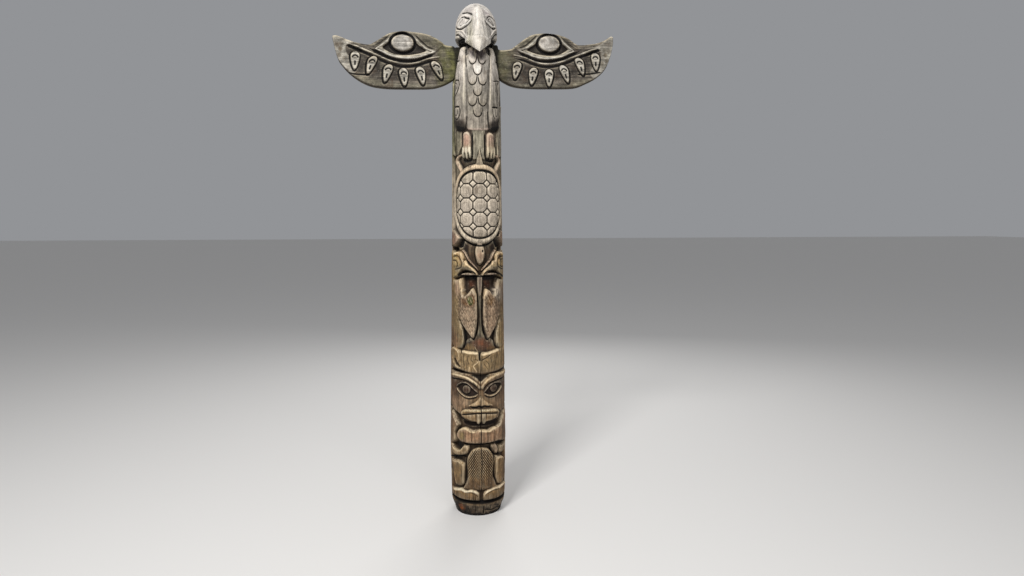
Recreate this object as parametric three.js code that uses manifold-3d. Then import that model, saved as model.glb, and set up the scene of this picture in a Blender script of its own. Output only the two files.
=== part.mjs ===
import * as THREE from 'three';
import Module from 'manifold-3d';
import { mergeVertices } from 'three/addons/utils/BufferGeometryUtils.js';

// A carved totem pole: one log with five figures down its front, and two outspread wing boards.
// Millimetres, +Z up, front towards -Y, origin on the log's axis at its underside.

const wasm = await Module();
wasm.setup();

// Heights of the stacked carvings, from the ground up
const baseHeight = 106;
const beaverHeight = 850;
const bandHeight = 150;
const birdsHeight = 654;
const turtleHeight = 530;
const eagleHeight = 750;
const headHeight = 260;

// Radius of the uncut log
const soleRadius = 150;
const footRadius = 178;
const hipRadius = 184;
const waistRadius = 170;
const shellRadius = 162;
const shoulderRadius = 150;
const neckRadius = 128;
const headRadius = 132;

// Depth of the carving below the skin of the log, and how deep each raised form is rooted in the log
const carvingDepth = 34;
const rootDepth = carvingDepth * 1.8;

// How far the beak stands out from the head, and how far its tip hangs below it
const beakReach = 78;
const beakDrop = 58;

// Wing boards
const wingReach = 900;
const wingDepth = 360;
const wingThickness = 46;
const wingBevel = 9;
const wingRelief = 9;
const leftWingRise = 648;
const rightWingRise = 668;
const tenonReach = 96;
const tenonDepth = 176;
const rootMargin = 8;
const fitClearance = 0.3;

// Feet of the figures on this pole
const beaverFoot = baseHeight;
const bandFoot = beaverFoot + beaverHeight;
const birdsFoot = bandFoot + bandHeight;
const turtleFoot = birdsFoot + birdsHeight;
const eagleFoot = turtleFoot + turtleHeight;
const headFoot = eagleFoot + eagleHeight;
const poleHeight = headFoot + headHeight;

// The carver's drawing of the whole pole: each figure's foot and height on it.
// A figure's carving is drawn in degrees round the log from the front and in levels of this drawing.
const drawing = {
  base: [0, 106],
  beaver: [106, 850],
  band: [956, 150],
  birds: [1106, 654],
  turtle: [1760, 530],
  eagle: [2290, 750],
  head: [3040, 260],
};

const stack = [
  ['base', 0, baseHeight],
  ['beaver', beaverFoot, beaverHeight],
  ['band', bandFoot, bandHeight],
  ['birds', birdsFoot, birdsHeight],
  ['turtle', turtleFoot, turtleHeight],
  ['eagle', eagleFoot, eagleHeight],
  ['head', headFoot, headHeight],
];

// Level on the pole of a level on the drawing
function levelOf(drawn) {
  for (const [name, foot, height] of stack) {
    const [drawnFoot, drawnHeight] = drawing[name];
    if (drawn <= drawnFoot + drawnHeight || name === 'head') {
      return foot + (drawn - drawnFoot) * (height / drawnHeight);
    }
  }
  return drawn;
}

// Straight lines between stations given as [position, value]
function between(stations, position) {
  let previous = stations[0];
  for (const station of stations) {
    if (position <= station[0]) {
      const run = station[0] - previous[0];
      const share = run > 0 ? (position - previous[0]) / run : 0;
      return previous[1] + (station[1] - previous[1]) * share;
    }
    previous = station;
  }
  return previous[1];
}

const girth = [
  [0, soleRadius],
  [88, footRadius],
  [450, hipRadius],
  [956, footRadius],
  [1360, waistRadius],
  [2030, shellRadius],
  [2760, shoulderRadius + 4],
  [2850, shoulderRadius],
  [3040, neckRadius],
  [3300, neckRadius],
];

function skinRadius(drawn) {
  return between(girth, drawn);
}

// Share of the carving depth that is cut away between the figures
const ground = [
  [0, 0], [88, 0], [98, 0.75], [112, 0.75], [300, 1], [640, 1], [700, 0.9], [930, 0.9], [1105, 1], [1400, 1],
  [1470, 1.25], [1620, 1.25], [1850, 0.8], [2230, 0.8], [2500, 0.8], [2800, 0.8], [2960, 0.9], [3060, 1.2],
];

const carvedAngle = 80;
const uncarvedAngle = 89;

function groundLift(angle, drawn) {
  const turned = Math.abs(angle);
  const front = between([[0, 1], [carvedAngle, 1], [uncarvedAngle, 0], [180, 0]], turned);
  return -carvingDepth * front * between(ground, drawn);
}

// A surface to carve on: place gives a point, and scale gives millimetres for one unit across
const onLog = {
  scale: (drawn) => THREE.MathUtils.degToRad(skinRadius(drawn)),
  place: (angle, drawn, lift) => {
    const reach = skinRadius(drawn) + lift;
    const turn = THREE.MathUtils.degToRad(angle);
    return [reach * Math.sin(turn), -reach * Math.cos(turn), levelOf(drawn)];
  },
};

// Signed volume of a closed triangle mesh
function signedVolume(points, triangles) {
  let total = 0;
  const a = new THREE.Vector3();
  const b = new THREE.Vector3();
  const c = new THREE.Vector3();
  for (const [i, j, k] of triangles) {
    a.fromArray(points[i]);
    b.fromArray(points[j]);
    c.fromArray(points[k]);
    total += a.dot(b.cross(c)) / 6;
  }
  return total;
}

// A closed body from its points and triangles, with its faces turned outwards
function solidFrom(points, triangles) {
  const outward = signedVolume(points, triangles) > 0;
  const faces = outward ? triangles : triangles.map(([i, j, k]) => [i, k, j]);
  const mesh = new wasm.Mesh({
    numProp: 3,
    vertProperties: new Float32Array(points.flat()),
    triVerts: new Uint32Array(faces.flat()),
  });
  return new wasm.Manifold(mesh);
}

// A closed body from a closed three.js geometry
function solidFromGeometry(geometry) {
  geometry.deleteAttribute('normal');
  geometry.deleteAttribute('uv');
  const merged = mergeVertices(geometry, 1e-4);
  const mesh = new wasm.Mesh({
    numProp: 3,
    vertProperties: new Float32Array(merged.attributes.position.array),
    triVerts: new Uint32Array(merged.index.array),
  });
  return new wasm.Manifold(mesh);
}

// A closed body from rings of points: neighbouring rings are joined, and both ends are closed by a fan
function loft(rings, firstCentre, lastCentre) {
  const count = rings[0].length;
  const points = rings.flat();
  const triangles = [];
  for (let row = 0; row + 1 < rings.length; row += 1) {
    for (let i = 0; i < count; i += 1) {
      const next = (i + 1) % count;
      const here = row * count;
      const above = here + count;
      triangles.push([here + i, here + next, above + next]);
      triangles.push([here + i, above + next, above + i]);
    }
  }
  const first = points.push(firstCentre) - 1;
  const last = points.push(lastCentre) - 1;
  const top = (rings.length - 1) * count;
  for (let i = 0; i < count; i += 1) {
    const next = (i + 1) % count;
    triangles.push([first, next, i]);
    triangles.push([last, top + i, top + next]);
  }
  return solidFrom(points, triangles);
}

// A smooth closed loop of count points through a few drawn ones
function smoothLoop(drawn, count) {
  const stations = drawn.map(([u, v]) => new THREE.Vector3(u, v, 0));
  const curve = new THREE.CatmullRomCurve3(stations, true, 'centripetal');
  return curve.getPoints(count).slice(0, count).map((p) => [p.x, p.y]);
}

// An open smooth path of count points through a few drawn ones
function smoothPath(drawn, count) {
  const stations = drawn.map(([u, v]) => new THREE.Vector3(u, v, 0));
  const curve = new THREE.CatmullRomCurve3(stations, false, 'centripetal');
  return curve.getPoints(count - 1).map((p) => [p.x, p.y]);
}

const mirrored = (points) => points.map(([u, ...rest]) => [-u, ...rest]);

// Profiles from the rim of a raised form to its middle, as [share of the outline, share of the height]
const roundedProfile = [[0.97, 0.4], [0.74, 0.88]];
const flatProfile = [[0.94, 0.92]];

// A raised form over an outline, standing from floor to height and rooted in the wood below
function raised(surface, outline, { centre, height, floor = -rootDepth, profile = roundedProfile }) {
  const rim = -carvingDepth * 0.7;
  const base = Math.max(floor, Math.min(rim, height - 4));
  const rings = [outline.map(([u, v]) => surface.place(u, v, floor))];
  for (const [share, rise] of profile) {
    const lift = base + (height - base) * rise;
    rings.push(outline.map(([u, v]) => {
      return surface.place(centre[0] + (u - centre[0]) * share, centre[1] + (v - centre[1]) * share, lift);
    }));
  }
  const below = surface.place(centre[0], centre[1], floor);
  const above = surface.place(centre[0], centre[1], height);
  return loft(rings, below, above);
}

// Sections of a ridge, as [share of the half width, share of the height above its foot]
const roundSection = [[-0.8, 0.6], [0, 1], [0.8, 0.6]];

// Value at a share of the way through a list of evenly spaced values
function along(values, share) {
  const last = values.length - 1;
  return between(values.map((value, i) => [i / last, value]), share);
}

// A rounded ridge along a path; widths and heights are lists of values at even steps along it
function ridge(surface, path, { width, height, floor = -rootDepth }) {
  const rings = path.map(([u, v], i) => {
    const [uBack, vBack] = path[Math.max(i - 1, 0)];
    const [uNext, vNext] = path[Math.min(i + 1, path.length - 1)];
    const scale = surface.scale(v);
    const run = new THREE.Vector2((uNext - uBack) * scale, vNext - vBack).normalize();
    const share = i / (path.length - 1);
    const half = along(width, share) / 2;
    const top = along(height, share);
    const foot = Math.max(floor, Math.min(top - half, top - 8));
    const crown = roundSection.map(([across, rise]) => [across, foot + (top - foot) * rise]);
    return [[-1, floor], ...crown, [1, floor]].map(([across, lift]) => {
      const offset = across * half;
      return surface.place(u - (run.y * offset) / scale, v + run.x * offset, lift);
    });
  });
  const ends = [path[0], path[path.length - 1]];
  const lifts = [along(height, 0), along(height, 1)];
  const centres = ends.map(([u, v], i) => surface.place(u, v, (floor + lifts[i]) / 2));
  return loft(rings, centres[0], centres[1]);
}

// A broad flat-faced form round the log, from stations [angle, bottom level, top level];
// its upper and lower edges are eased by the given amount
function panel(surface, stations, { height, ease = 10, floor = -rootDepth }) {
  const rings = stations.map(([u, bottom, top]) => {
    const inset = Math.min(ease, (top - bottom) / 3);
    const section = [
      [bottom, floor], [bottom, height - ease], [bottom + inset, height],
      [top - inset, height], [top, height - ease], [top, floor],
    ];
    return section.map(([v, lift]) => surface.place(u, v, lift));
  });
  const centres = [stations[0], stations[stations.length - 1]].map(([u, bottom, top]) => {
    return surface.place(u, (bottom + top) / 2, (floor + height) / 2);
  });
  return loft(rings, centres[0], centres[1]);
}

// The log with the ground between the figures cut away
function carveLog() {
  const angles = [];
  for (let angle = -carvedAngle; angle <= carvedAngle; angle += 20) {
    angles.push(angle);
  }
  for (let angle = uncarvedAngle; angle <= 360 - uncarvedAngle; angle += (360 - 2 * uncarvedAngle) / 8) {
    angles.push(angle);
  }
  const levels = ground.map(([drawn]) => drawn);
  const rings = levels.map((drawn) => angles.map((angle) => {
    const signed = angle > 180 ? angle - 360 : angle;
    return onLog.place(angle, drawn, groundLift(signed, drawn));
  }));
  const top = levelOf(levels[levels.length - 1]);
  return loft(rings, [0, 0, 0], [0, 0, top]);
}

// Both mirrored copies of a raised form drawn on the viewer's right
function raisedPair(surface, outline, options) {
  const [u, v] = options.centre;
  return [
    raised(surface, outline, options),
    raised(surface, mirrored(outline), { ...options, centre: [-u, v] }),
  ];
}

function ridgePair(surface, path, options) {
  return [ridge(surface, path, options), ridge(surface, mirrored(path), options)];
}

function carveBeaver() {
  const foot = [[5, 116, 140], [14, 114, 154], [32, 113, 162], [56, 114, 172], [80, 116, 192], [90, 120, 190]];
  const shin = [[40, 200], [36, 300], [36, 372], [44, 396], [66, 398], [80, 372], [78, 290], [70, 200]];
  const tail = [[0, 468], [16, 460], [28, 425], [32, 378], [30, 300], [24, 200], [0, 190]];
  const tailOutline = tail.concat(mirrored(tail.slice(1, -1)).reverse());
  const stick = [
    [-59, 532, 560], [-55, 512, 582], [-46, 502, 592], [-24, 494, 594], [0, 492, 592], [24, 492, 597],
    [46, 488, 618], [60, 484, 660], [72, 500, 690], [86, 520, 690],
  ];
  const upperArm = [[-66, 470], [-66, 560], [-68, 640], [-78, 692], [-88, 640], [-88, 500]];
  const paw = [[80, 470], [64, 432], [44, 426], [31, 456]];
  const face = [[6, 640, 948], [34, 646, 948], [44, 684, 950], [62, 688, 952], [76, 700, 956], [88, 730, 958]];
  const brow = [[1, 868], [10, 892], [22, 920], [46, 934], [86, 946]];
  const eye = [[9, 824], [20, 872], [33, 895], [48, 888], [60, 862], [48, 822], [32, 800], [20, 804]];
  const iris = [[32, 878], [43, 862], [42, 838], [32, 826], [22, 838], [22, 862]];
  const nose = [[0, 842], [6, 800], [14, 760], [20, 738], [0, 730], [-20, 738], [-14, 760], [-6, 800]];
  const upperLip = [[-44, 714], [-24, 722], [0, 724], [24, 722], [44, 714]];
  const lowerLip = [[-42, 700], [-28, 678], [0, 660], [28, 678], [42, 700]];
  const tooth = [[1, 694], [10, 692], [10, 634], [6, 624], [2, 626]];
  const faceStations = mirrored(face).reverse().concat(face);
  return [
    panel(onLog, foot, { height: 0, ease: 14 }),
    panel(onLog, mirrored(foot), { height: 0, ease: 14 }),
    ...raisedPair(onLog, smoothLoop(shin, 9), { centre: [58, 300], height: -2 }),
    raised(onLog, smoothLoop(tailOutline, 12), { centre: [0, 330], height: -2 }),
    panel(onLog, stick, { height: 0, ease: 14 }),
    raised(onLog, smoothLoop(upperArm, 8), { centre: [-77, 570], height: 0 }),
    ...ridgePair(onLog, smoothPath(paw, 5), { width: [34, 42, 34], height: [-4, -4, -6] }),
    panel(onLog, faceStations, { height: -5, ease: 12 }),
    ...ridgePair(onLog, smoothPath(brow, 5), { width: [30, 34, 36], height: [14, 10, 4] }),
    ...raisedPair(onLog, smoothLoop(eye, 9), { centre: [34, 850], height: 1, profile: flatProfile }),
    ...raisedPair(onLog, smoothLoop(iris, 6), { centre: [32, 852], height: 7 }),
    raised(onLog, smoothLoop(nose, 9), { centre: [0, 760], height: 24 }),
    ridge(onLog, upperLip, { width: [16, 34, 16], height: [4, 14, 4] }),
    ridge(onLog, lowerLip, { width: [16, 26, 16], height: [3, 11, 3] }),
    ...raisedPair(onLog, tooth, { centre: [6, 660], height: 16, profile: flatProfile }),
  ];
}

function carveBand() {
  const band = [
    [-54, 974, 1092], [-30, 962, 1098], [-10, 957, 1099], [10, 957, 1099], [32, 962, 1100], [54, 970, 1106],
    [66, 976, 1140], [72, 980, 1140], [86, 1000, 1070],
  ];
  const leftEar = [[-50, 984], [-46, 1040], [-52, 1090], [-62, 1117], [-74, 1108], [-80, 1060], [-74, 1000], [-62, 976]];
  return [
    panel(onLog, band, { height: 0, ease: 14 }),
    raised(onLog, smoothLoop(leftEar, 9), { centre: [-64, 1040], height: 3 }),
  ];
}

function carveBirds() {
  const head = [[44, 1600], [40, 1650], [44, 1706], [54, 1736], [70, 1726], [88, 1696], [90, 1600], [80, 1560],
    [60, 1560]];
  const beak = [[70, 1650], [44, 1654], [26, 1634], [12, 1610], [4, 1592]];
  const eye = [[62, 1700], [74, 1690], [80, 1650], [74, 1622], [62, 1626], [54, 1660]];
  const jaw = [[10, 1586], [28, 1594], [48, 1586]];
  const inner = [[8, 1370], [9, 1450], [18, 1504], [30, 1490], [44, 1456], [50, 1380], [46, 1290], [32, 1218],
    [17, 1182], [9, 1250]];
  const outer = [[44, 1562], [66, 1548], [88, 1560], [90, 1340], [86, 1180], [60, 1120], [41, 1114], [38, 1180],
    [44, 1282], [45, 1400], [42, 1470]];
  const keel = [[0, 1578], [6, 1560], [7, 1400], [14, 1110], [-14, 1110], [-7, 1400], [-6, 1560]];
  return [
    ...raisedPair(onLog, smoothLoop(head, 10), { centre: [66, 1648], height: 2 }),
    ...ridgePair(onLog, smoothPath(beak, 6), { width: [130, 104, 64, 34, 12], height: [2, 2, 2, 0, -4] }),
    ...raisedPair(onLog, smoothLoop(eye, 6), { centre: [67, 1660], height: 7 }),
    ...ridgePair(onLog, jaw, { width: [12, 18, 12], height: [-12, -8, -12] }),
    ...raisedPair(onLog, smoothLoop(inner, 11), { centre: [26, 1360], height: 0 }),
    ...raisedPair(onLog, smoothLoop(outer, 11), { centre: [66, 1340], height: 2 }),
    raised(onLog, keel, { centre: [0, 1350], height: -18, profile: flatProfile }),
  ];
}

// The turtle's shell: half angles and half height of the rim and of the domed back
const shellMiddle = 2036;
const shellAngle = 80;
const shellHalfHeight = 250;
const shellSides = 20;

// One plate of the shell: a flat-topped form with count sides
function plate(angle, drawn, size, count) {
  const outline = [];
  const start = count === 8 ? 0.5 : 0;
  for (let i = 0; i < count; i += 1) {
    const turn = ((i + start) * 2 * Math.PI) / count;
    outline.push([angle + (size * Math.cos(turn)) / onLog.scale(drawn), drawn + size * Math.sin(turn)]);
  }
  return raised(onLog, outline, { centre: [angle, drawn], height: 8, floor: -12, profile: flatProfile });
}

// Eight-sided plates in three columns, with small diamonds where four of them meet
function carvePlates() {
  const rowPitch = 88;
  const columnPitch = 31;
  const size = 44;
  const plates = [];
  for (let row = -2; row <= 2; row += 1) {
    for (const column of [-1, 0, 1]) {
      const small = Math.abs(row) === 2 && column !== 0;
      const inward = small ? 12 * Math.sign(row) : 0;
      plates.push(plate(column * (columnPitch - (small ? 4 : 0)), shellMiddle + row * rowPitch - inward,
        small ? size - 11 : size, 8));
    }
  }
  for (const row of [-1.5, -0.5, 0.5, 1.5]) {
    for (const column of [-0.5, 0.5]) {
      plates.push(plate(column * columnPitch, shellMiddle + row * rowPitch, 20, 4));
    }
  }
  return plates;
}

function carveTurtle() {
  const rings = [
    [1, 1, -rootDepth], [0.98, 0.99, -6], [0.84, 0.89, -1], [0.78, 0.85, -13], [0.7, 0.79, -1],
    [0.36, 0.4, 4],
  ];
  const shell = rings.map(([across, along, lift]) => {
    const ring = [];
    for (let i = 0; i < shellSides; i += 1) {
      const turn = (i * 2 * Math.PI) / shellSides;
      const angle = shellAngle * across * Math.cos(turn);
      ring.push(onLog.place(angle, shellMiddle + shellHalfHeight * along * Math.sin(turn), lift));
    }
    return ring;
  });
  const heart = onLog.place(0, shellMiddle, -rootDepth);
  const crown = onLog.place(0, shellMiddle, 5);
  const arm = [[44, 2238], [58, 2286], [66, 2322], [50, 2342]];
  const flipper = [[56, 1850], [70, 1806], [88, 1772]];
  const head = [[0, 1800], [11, 1785], [13, 1735], [8, 1680], [0, 1657], [-8, 1680], [-13, 1735], [-11, 1785]];
  const tail = [[0, 2384], [12, 2280], [-10, 2280]];
  return [
    loft(shell, heart, crown),
    ...carvePlates(),
    ...ridgePair(onLog, smoothPath(arm, 5), { width: [34, 32, 14], height: [-8, -6, -14] }),
    ...ridgePair(onLog, smoothPath(flipper, 4), { width: [40, 46, 40], height: [-6, 0, 0] }),
    raised(onLog, tail, { centre: [0, 2310], height: -8, profile: flatProfile }),
    raised(onLog, smoothLoop(head, 10), { centre: [0, 1735], height: 2 }),
  ];
}

// One feather tongue of the breast: its tip stands proud, and its upper end sinks into the breast
function tongue(angle, tip, halfAngle, length) {
  const outline = [[0, 0], [0.66, 0.14], [1, 0.5], [1, 1], [-1, 1], [-1, 0.5], [-0.66, 0.14]];
  const rise = carvingDepth * 0.3;
  const breast = -carvingDepth * 0.85;
  const ring = (lift) => outline.map(([across, up]) => {
    return onLog.place(angle + across * halfAngle, tip + up * length, lift(up));
  });
  const middle = (lift) => onLog.place(angle, tip + length * 0.55, lift);
  const rings = [ring(() => breast - rise), ring((up) => breast + rise * (1.2 - up))];
  return loft(rings, middle(breast - rise), middle(breast + rise * 0.65));
}

function carveEagle() {
  const wing = [[24, 2560], [24, 2700], [24, 2830], [30, 2930], [38, 3014], [48, 3016], [58, 2930], [68, 2850],
    [72, 2700], [72, 2590], [66, 2520], [52, 2502], [34, 2512]];
  const leg = [[22, 2370], [21, 2440], [26, 2484], [36, 2492], [47, 2480], [50, 2430], [49, 2370], [36, 2352]];
  const tail = [[0, 2504], [15, 2496], [14, 2400], [17, 2318], [-17, 2318], [-14, 2400], [-15, 2496]];
  const flank = [[57, 2496], [72, 2496], [74, 2360], [57, 2360]];
  const rowDrop = 128;
  const tongueLength = 92;
  const tongues = [];
  for (let row = 0; row < 3; row += 1) {
    const drop = row * rowDrop;
    tongues.push(tongue(-12.5, 2903 - drop, 11, tongueLength));
    tongues.push(tongue(12.5, 2903 - drop, 11, tongueLength));
    tongues.push(tongue(0, 2836 - drop, 12, tongueLength));
  }
  const toes = [];
  for (const side of [-1, 1]) {
    for (const step of [-1, 0, 1]) {
      const angle = side * 36 + step * 10;
      toes.push(ridge(onLog, [[angle, 2376], [angle, 2318]], { width: [20, 16], height: [0, -6] }));
    }
  }
  return [
    ...raisedPair(onLog, smoothLoop(wing, 14), { centre: [48, 2720], height: 2 }),
    ...raisedPair(onLog, smoothLoop(leg, 8), { centre: [35, 2425], height: -2 }),
    raised(onLog, tail, { centre: [0, 2410], height: -12, profile: flatProfile }),
    ...raisedPair(onLog, flank, { centre: [65, 2430], height: -10, profile: flatProfile }),
    ...tongues,
    ...toes,
  ];
}

// The bird's head: a bullet-shaped dome on a flat underside. Up to this share of its height it is upright.
const uprightShare = 0.3;

function headReach(share) {
  const up = Math.max(0, (share - uprightShare) / (1 - uprightShare));
  return headRadius * Math.sqrt(1 - up ** 2.2);
}

const onHead = {
  scale: () => THREE.MathUtils.degToRad(headRadius),
  place: (angle, drawn, lift) => {
    const reach = headReach((levelOf(drawn) - headFoot) / headHeight) + lift;
    const turn = THREE.MathUtils.degToRad(angle);
    return [reach * Math.sin(turn), -reach * Math.cos(turn), levelOf(drawn)];
  },
};

function carveHead() {
  const sides = 18;
  const tuck = 0.94;
  const shares = [0, 0.06, uprightShare, 0.5, 0.66, 0.79, 0.89, 0.96, 0.99];
  const rings = shares.map((share, row) => {
    const reach = headReach(share) * (row === 0 ? tuck : 1);
    const ring = [];
    for (let i = 0; i < sides; i += 1) {
      const turn = (i * 2 * Math.PI) / sides;
      ring.push([reach * Math.sin(turn), -reach * Math.cos(turn), headFoot + headHeight * share]);
    }
    return ring;
  });
  return loft(rings, [0, 0, headFoot], [0, 0, poleHeight]);
}

// The beak: sections that narrow from the face to the hooked tip, with a keel along the top.
// Each station holds the share of the reach, the half width, and the top and underside as shares of
// the head's height above its foot and of the beak's drop below it.
function carveBeak() {
  const stations = [
    [-1.1, 0.3, 0.9, 0.1], [-0.4, 0.46, 0.82, 0.08], [0.1, 0.52, 0.68, 0.04], [0.5, 0.46, 0.47, -0.3],
    [0.78, 0.31, 0.24, -0.62], [0.94, 0.15, 0.0, -0.9], [1, 0.05, -0.2, -1],
  ];
  const section = [[-1, 0.12], [-0.82, 0.5], [-0.36, 0.86], [0, 1], [0.36, 0.86], [0.82, 0.5], [1, 0.12], [0, 0]];
  const rings = stations.map(([out, wide, top, under]) => {
    const front = -(headRadius + beakReach * out);
    const half = headRadius * wide;
    const high = headFoot + (top > 0 ? headHeight : beakDrop) * top;
    const low = headFoot + (under > 0 ? headHeight : beakDrop) * under;
    return section.map(([across, up]) => [across * half, front, low + (high - low) * up]);
  });
  const middle = (ring) => [0, ring[0][1], (ring[3][2] + ring[7][2]) / 2];
  return loft(rings, middle(rings[0]), middle(rings[rings.length - 1]));
}

function carveFace() {
  const eye = [[38, 3188], [54, 3192], [80, 3160], [88, 3134], [76, 3128], [50, 3152]];
  const gape = [[88, 3124], [62, 3104], [34, 3052]];
  const options = { floor: -20 };
  return [
    ...raisedPair(onHead, smoothLoop(eye, 9), { ...options, centre: [64, 3160], height: 7 }),
    ...ridgePair(onHead, smoothPath(gape, 4), { ...options, width: [18, 24, 22], height: [5, 9, 10] }),
  ];
}

// Wing boards, drawn for the viewer's right: out from the axis, and up from the tenon's middle line
const drawnReach = 900;
const drawnDepth = 360;
const drawnTenonMiddle = 14;

const wingOutline = [
  [186, -104], [222, -130], [262, -146], [330, -152], [450, -154], [560, -150], [650, -140], [750, -96], [826, -20],
  [874, 80], [898, 160], [893, 188], [868, 190], [790, 132], [720, 108], [660, 112], [600, 158], [548, 184],
  [480, 200], [400, 196], [330, 168], [270, 128], [222, 110], [186, 106],
];

function onWing(side, rise) {
  const across = wingReach / drawnReach;
  const upward = wingDepth / drawnDepth;
  return {
    scale: () => 1,
    place: (u, v, lift) => [side * u * across, -(wingThickness / 2 + lift), eagleFoot + rise + (v - drawnTenonMiddle) * upward],
  };
}

// The plain board with bevelled edges; its straight root goes into the log
function wingBoard(side, rise) {
  const surface = onWing(side, rise);
  const half = tenonDepth / 2;
  const rootEnd = shoulderRadius + rootMargin;
  const outline = [[rootEnd, half], [tenonReach, half], [tenonReach, -half], [rootEnd, -half]];
  const flat = wingOutline.map(([u, v]) => {
    const [x, , z] = surface.place(u, v, 0);
    return [x * side, z - eagleFoot - rise];
  });
  const shape = new THREE.Shape(outline.concat(flat).map(([x, z]) => new THREE.Vector2(x, z)));
  const board = new THREE.ExtrudeGeometry(shape, {
    depth: wingThickness - 2 * wingBevel,
    bevelThickness: wingBevel,
    bevelSize: wingBevel,
    bevelOffset: -wingBevel,
    bevelSegments: 1,
  });
  board.translate(0, 0, wingBevel - wingThickness / 2);
  board.rotateX(Math.PI / 2);
  if (side < 0) {
    board.rotateZ(Math.PI);
  }
  board.translate(0, 0, eagleFoot + rise);
  return solidFromGeometry(board);
}

// One feather end of the wing: a tapering tongue, hanging at a tilt
function featherEnd(surface, u, v, tilt) {
  const outline = [[0, 56], [26, 40], [28, 0], [9, -52], [-9, -52], [-28, 0], [-26, 40]];
  const turn = THREE.MathUtils.degToRad(tilt);
  const turned = outline.map(([x, z]) => {
    return [u + x * Math.cos(turn) - z * Math.sin(turn), v + x * Math.sin(turn) + z * Math.cos(turn)];
  });
  return raised(surface, turned, { centre: [u, v], height: wingRelief, floor: -wingRelief, profile: flatProfile });
}

function carveWing(side, rise) {
  const surface = onWing(side, rise);
  const floor = -wingRelief;
  const lid = [[306, 62], [350, 34], [462, -2], [550, 18], [606, 64]];
  const lidTop = [[306, 62], [376, 116], [400, 160]];
  const lidTopOuter = [[606, 64], [548, 110], [520, 150]];
  const brow = [[246, 34], [350, -2], [462, -30], [560, -12], [690, 52], [800, 96]];
  const eye = [];
  const eyeSides = 14;
  for (let i = 0; i < eyeSides; i += 1) {
    const turn = (i * 2 * Math.PI) / eyeSides;
    eye.push([462 + 72 * Math.cos(turn), 122 + 54 * Math.sin(turn)]);
  }
  const tip = [[690, -64], [812, -22], [862, 80], [886, 160], [862, 172], [790, 112], [770, 40]];
  const feathers = [
    [248, -54, -24], [352, -92, -8], [458, -98, 0], [562, -76, 14], [664, -34, 22], [756, -4, 6],
  ];
  const narrow = { width: [8, 14, 8], height: [wingRelief, wingRelief, wingRelief], floor };
  return [
    raised(surface, eye, { centre: [462, 122], height: wingRelief + 3, floor }),
    ridge(surface, smoothPath(lid, 7), narrow),
    ridge(surface, smoothPath(lidTop, 3), narrow),
    ridge(surface, smoothPath(lidTopOuter, 3), narrow),
    ridge(surface, smoothPath(brow, 9), { ...narrow, width: [10, 18, 14] }),
    raised(surface, smoothLoop(tip, 11), { centre: [800, 60], height: wingRelief - 4, floor, profile: flatProfile }),
    ...feathers.map(([u, v, tilt]) => featherEnd(surface, u, v, tilt)),
  ];
}

function joined(solids) {
  return solids.reduce((total, solid) => total.add(solid));
}

// The slot in the log that a wing's tenon goes into
function slotFor(side, rise) {
  const width = wingThickness + 2 * fitClearance;
  const height = tenonDepth + 2 * fitClearance;
  const slot = new THREE.BoxGeometry(300, width, height);
  slot.translate(side * (tenonReach - fitClearance + 150), 0, eagleFoot + rise);
  return solidFromGeometry(slot);
}

function meshOf(name, solid, material) {
  const { vertProperties, triVerts } = solid.getMesh();
  const geometry = new THREE.BufferGeometry();
  geometry.setAttribute('position', new THREE.Float32BufferAttribute(vertProperties, 3));
  geometry.setIndex(Array.from(triVerts));
  geometry.computeVertexNormals();
  const mesh = new THREE.Mesh(geometry, material);
  mesh.name = name;
  return mesh;
}

const logWood = new THREE.MeshStandardMaterial({ color: '#8f7f62', roughness: 0.85, metalness: 0 });
const wingWood = new THREE.MeshStandardMaterial({ color: '#83796a', roughness: 0.85, metalness: 0 });

const carving = joined([
  carveLog(),
  ...carveBeaver(),
  ...carveBand(),
  ...carveBirds(),
  ...carveTurtle(),
  ...carveEagle(),
  carveHead(),
  carveBeak(),
  ...carveFace(),
]);
const slots = slotFor(-1, leftWingRise).add(slotFor(1, rightWingRise));

const group = new THREE.Group();
group.add(meshOf('pole', carving.subtract(slots), logWood));
const wings = [
  ['wing_left', -1, leftWingRise],
  ['wing_right', 1, rightWingRise],
];
for (const [name, side, rise] of wings) {
  const board = joined([wingBoard(side, rise), ...carveWing(side, rise)]);
  group.add(meshOf(name, board, wingWood));
}

export default group;
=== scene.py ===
import math

import bpy
import numpy as np
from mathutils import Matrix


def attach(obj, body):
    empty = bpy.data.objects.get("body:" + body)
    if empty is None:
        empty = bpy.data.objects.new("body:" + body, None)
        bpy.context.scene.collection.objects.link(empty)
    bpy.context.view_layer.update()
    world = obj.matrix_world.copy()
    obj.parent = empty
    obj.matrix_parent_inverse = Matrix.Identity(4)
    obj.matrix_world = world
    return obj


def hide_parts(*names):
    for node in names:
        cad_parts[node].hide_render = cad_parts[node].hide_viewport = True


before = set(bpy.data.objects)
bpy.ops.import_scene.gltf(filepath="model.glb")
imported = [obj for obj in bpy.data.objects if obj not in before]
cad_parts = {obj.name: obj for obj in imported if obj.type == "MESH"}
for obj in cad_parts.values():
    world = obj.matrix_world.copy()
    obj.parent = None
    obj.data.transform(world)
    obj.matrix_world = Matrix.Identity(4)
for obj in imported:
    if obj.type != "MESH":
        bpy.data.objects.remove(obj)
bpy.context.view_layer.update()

scene = bpy.context.scene

# Camera at the photograph's viewing angle
lens = {"place": (-0.477, -4.540, 1.957), "turn": (84.2, 0.0, -8.86), "focal": 24.43, "sensor": 36.0}
cameraData = bpy.data.cameras.new("camera")
cameraData.lens = lens["focal"]
cameraData.sensor_width = lens["sensor"]
camera = bpy.data.objects.new("camera", cameraData)
camera.location = lens["place"]
camera.rotation_euler = [math.radians(a) for a in lens["turn"]]
scene.collection.objects.link(camera)
scene.camera = camera


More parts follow.
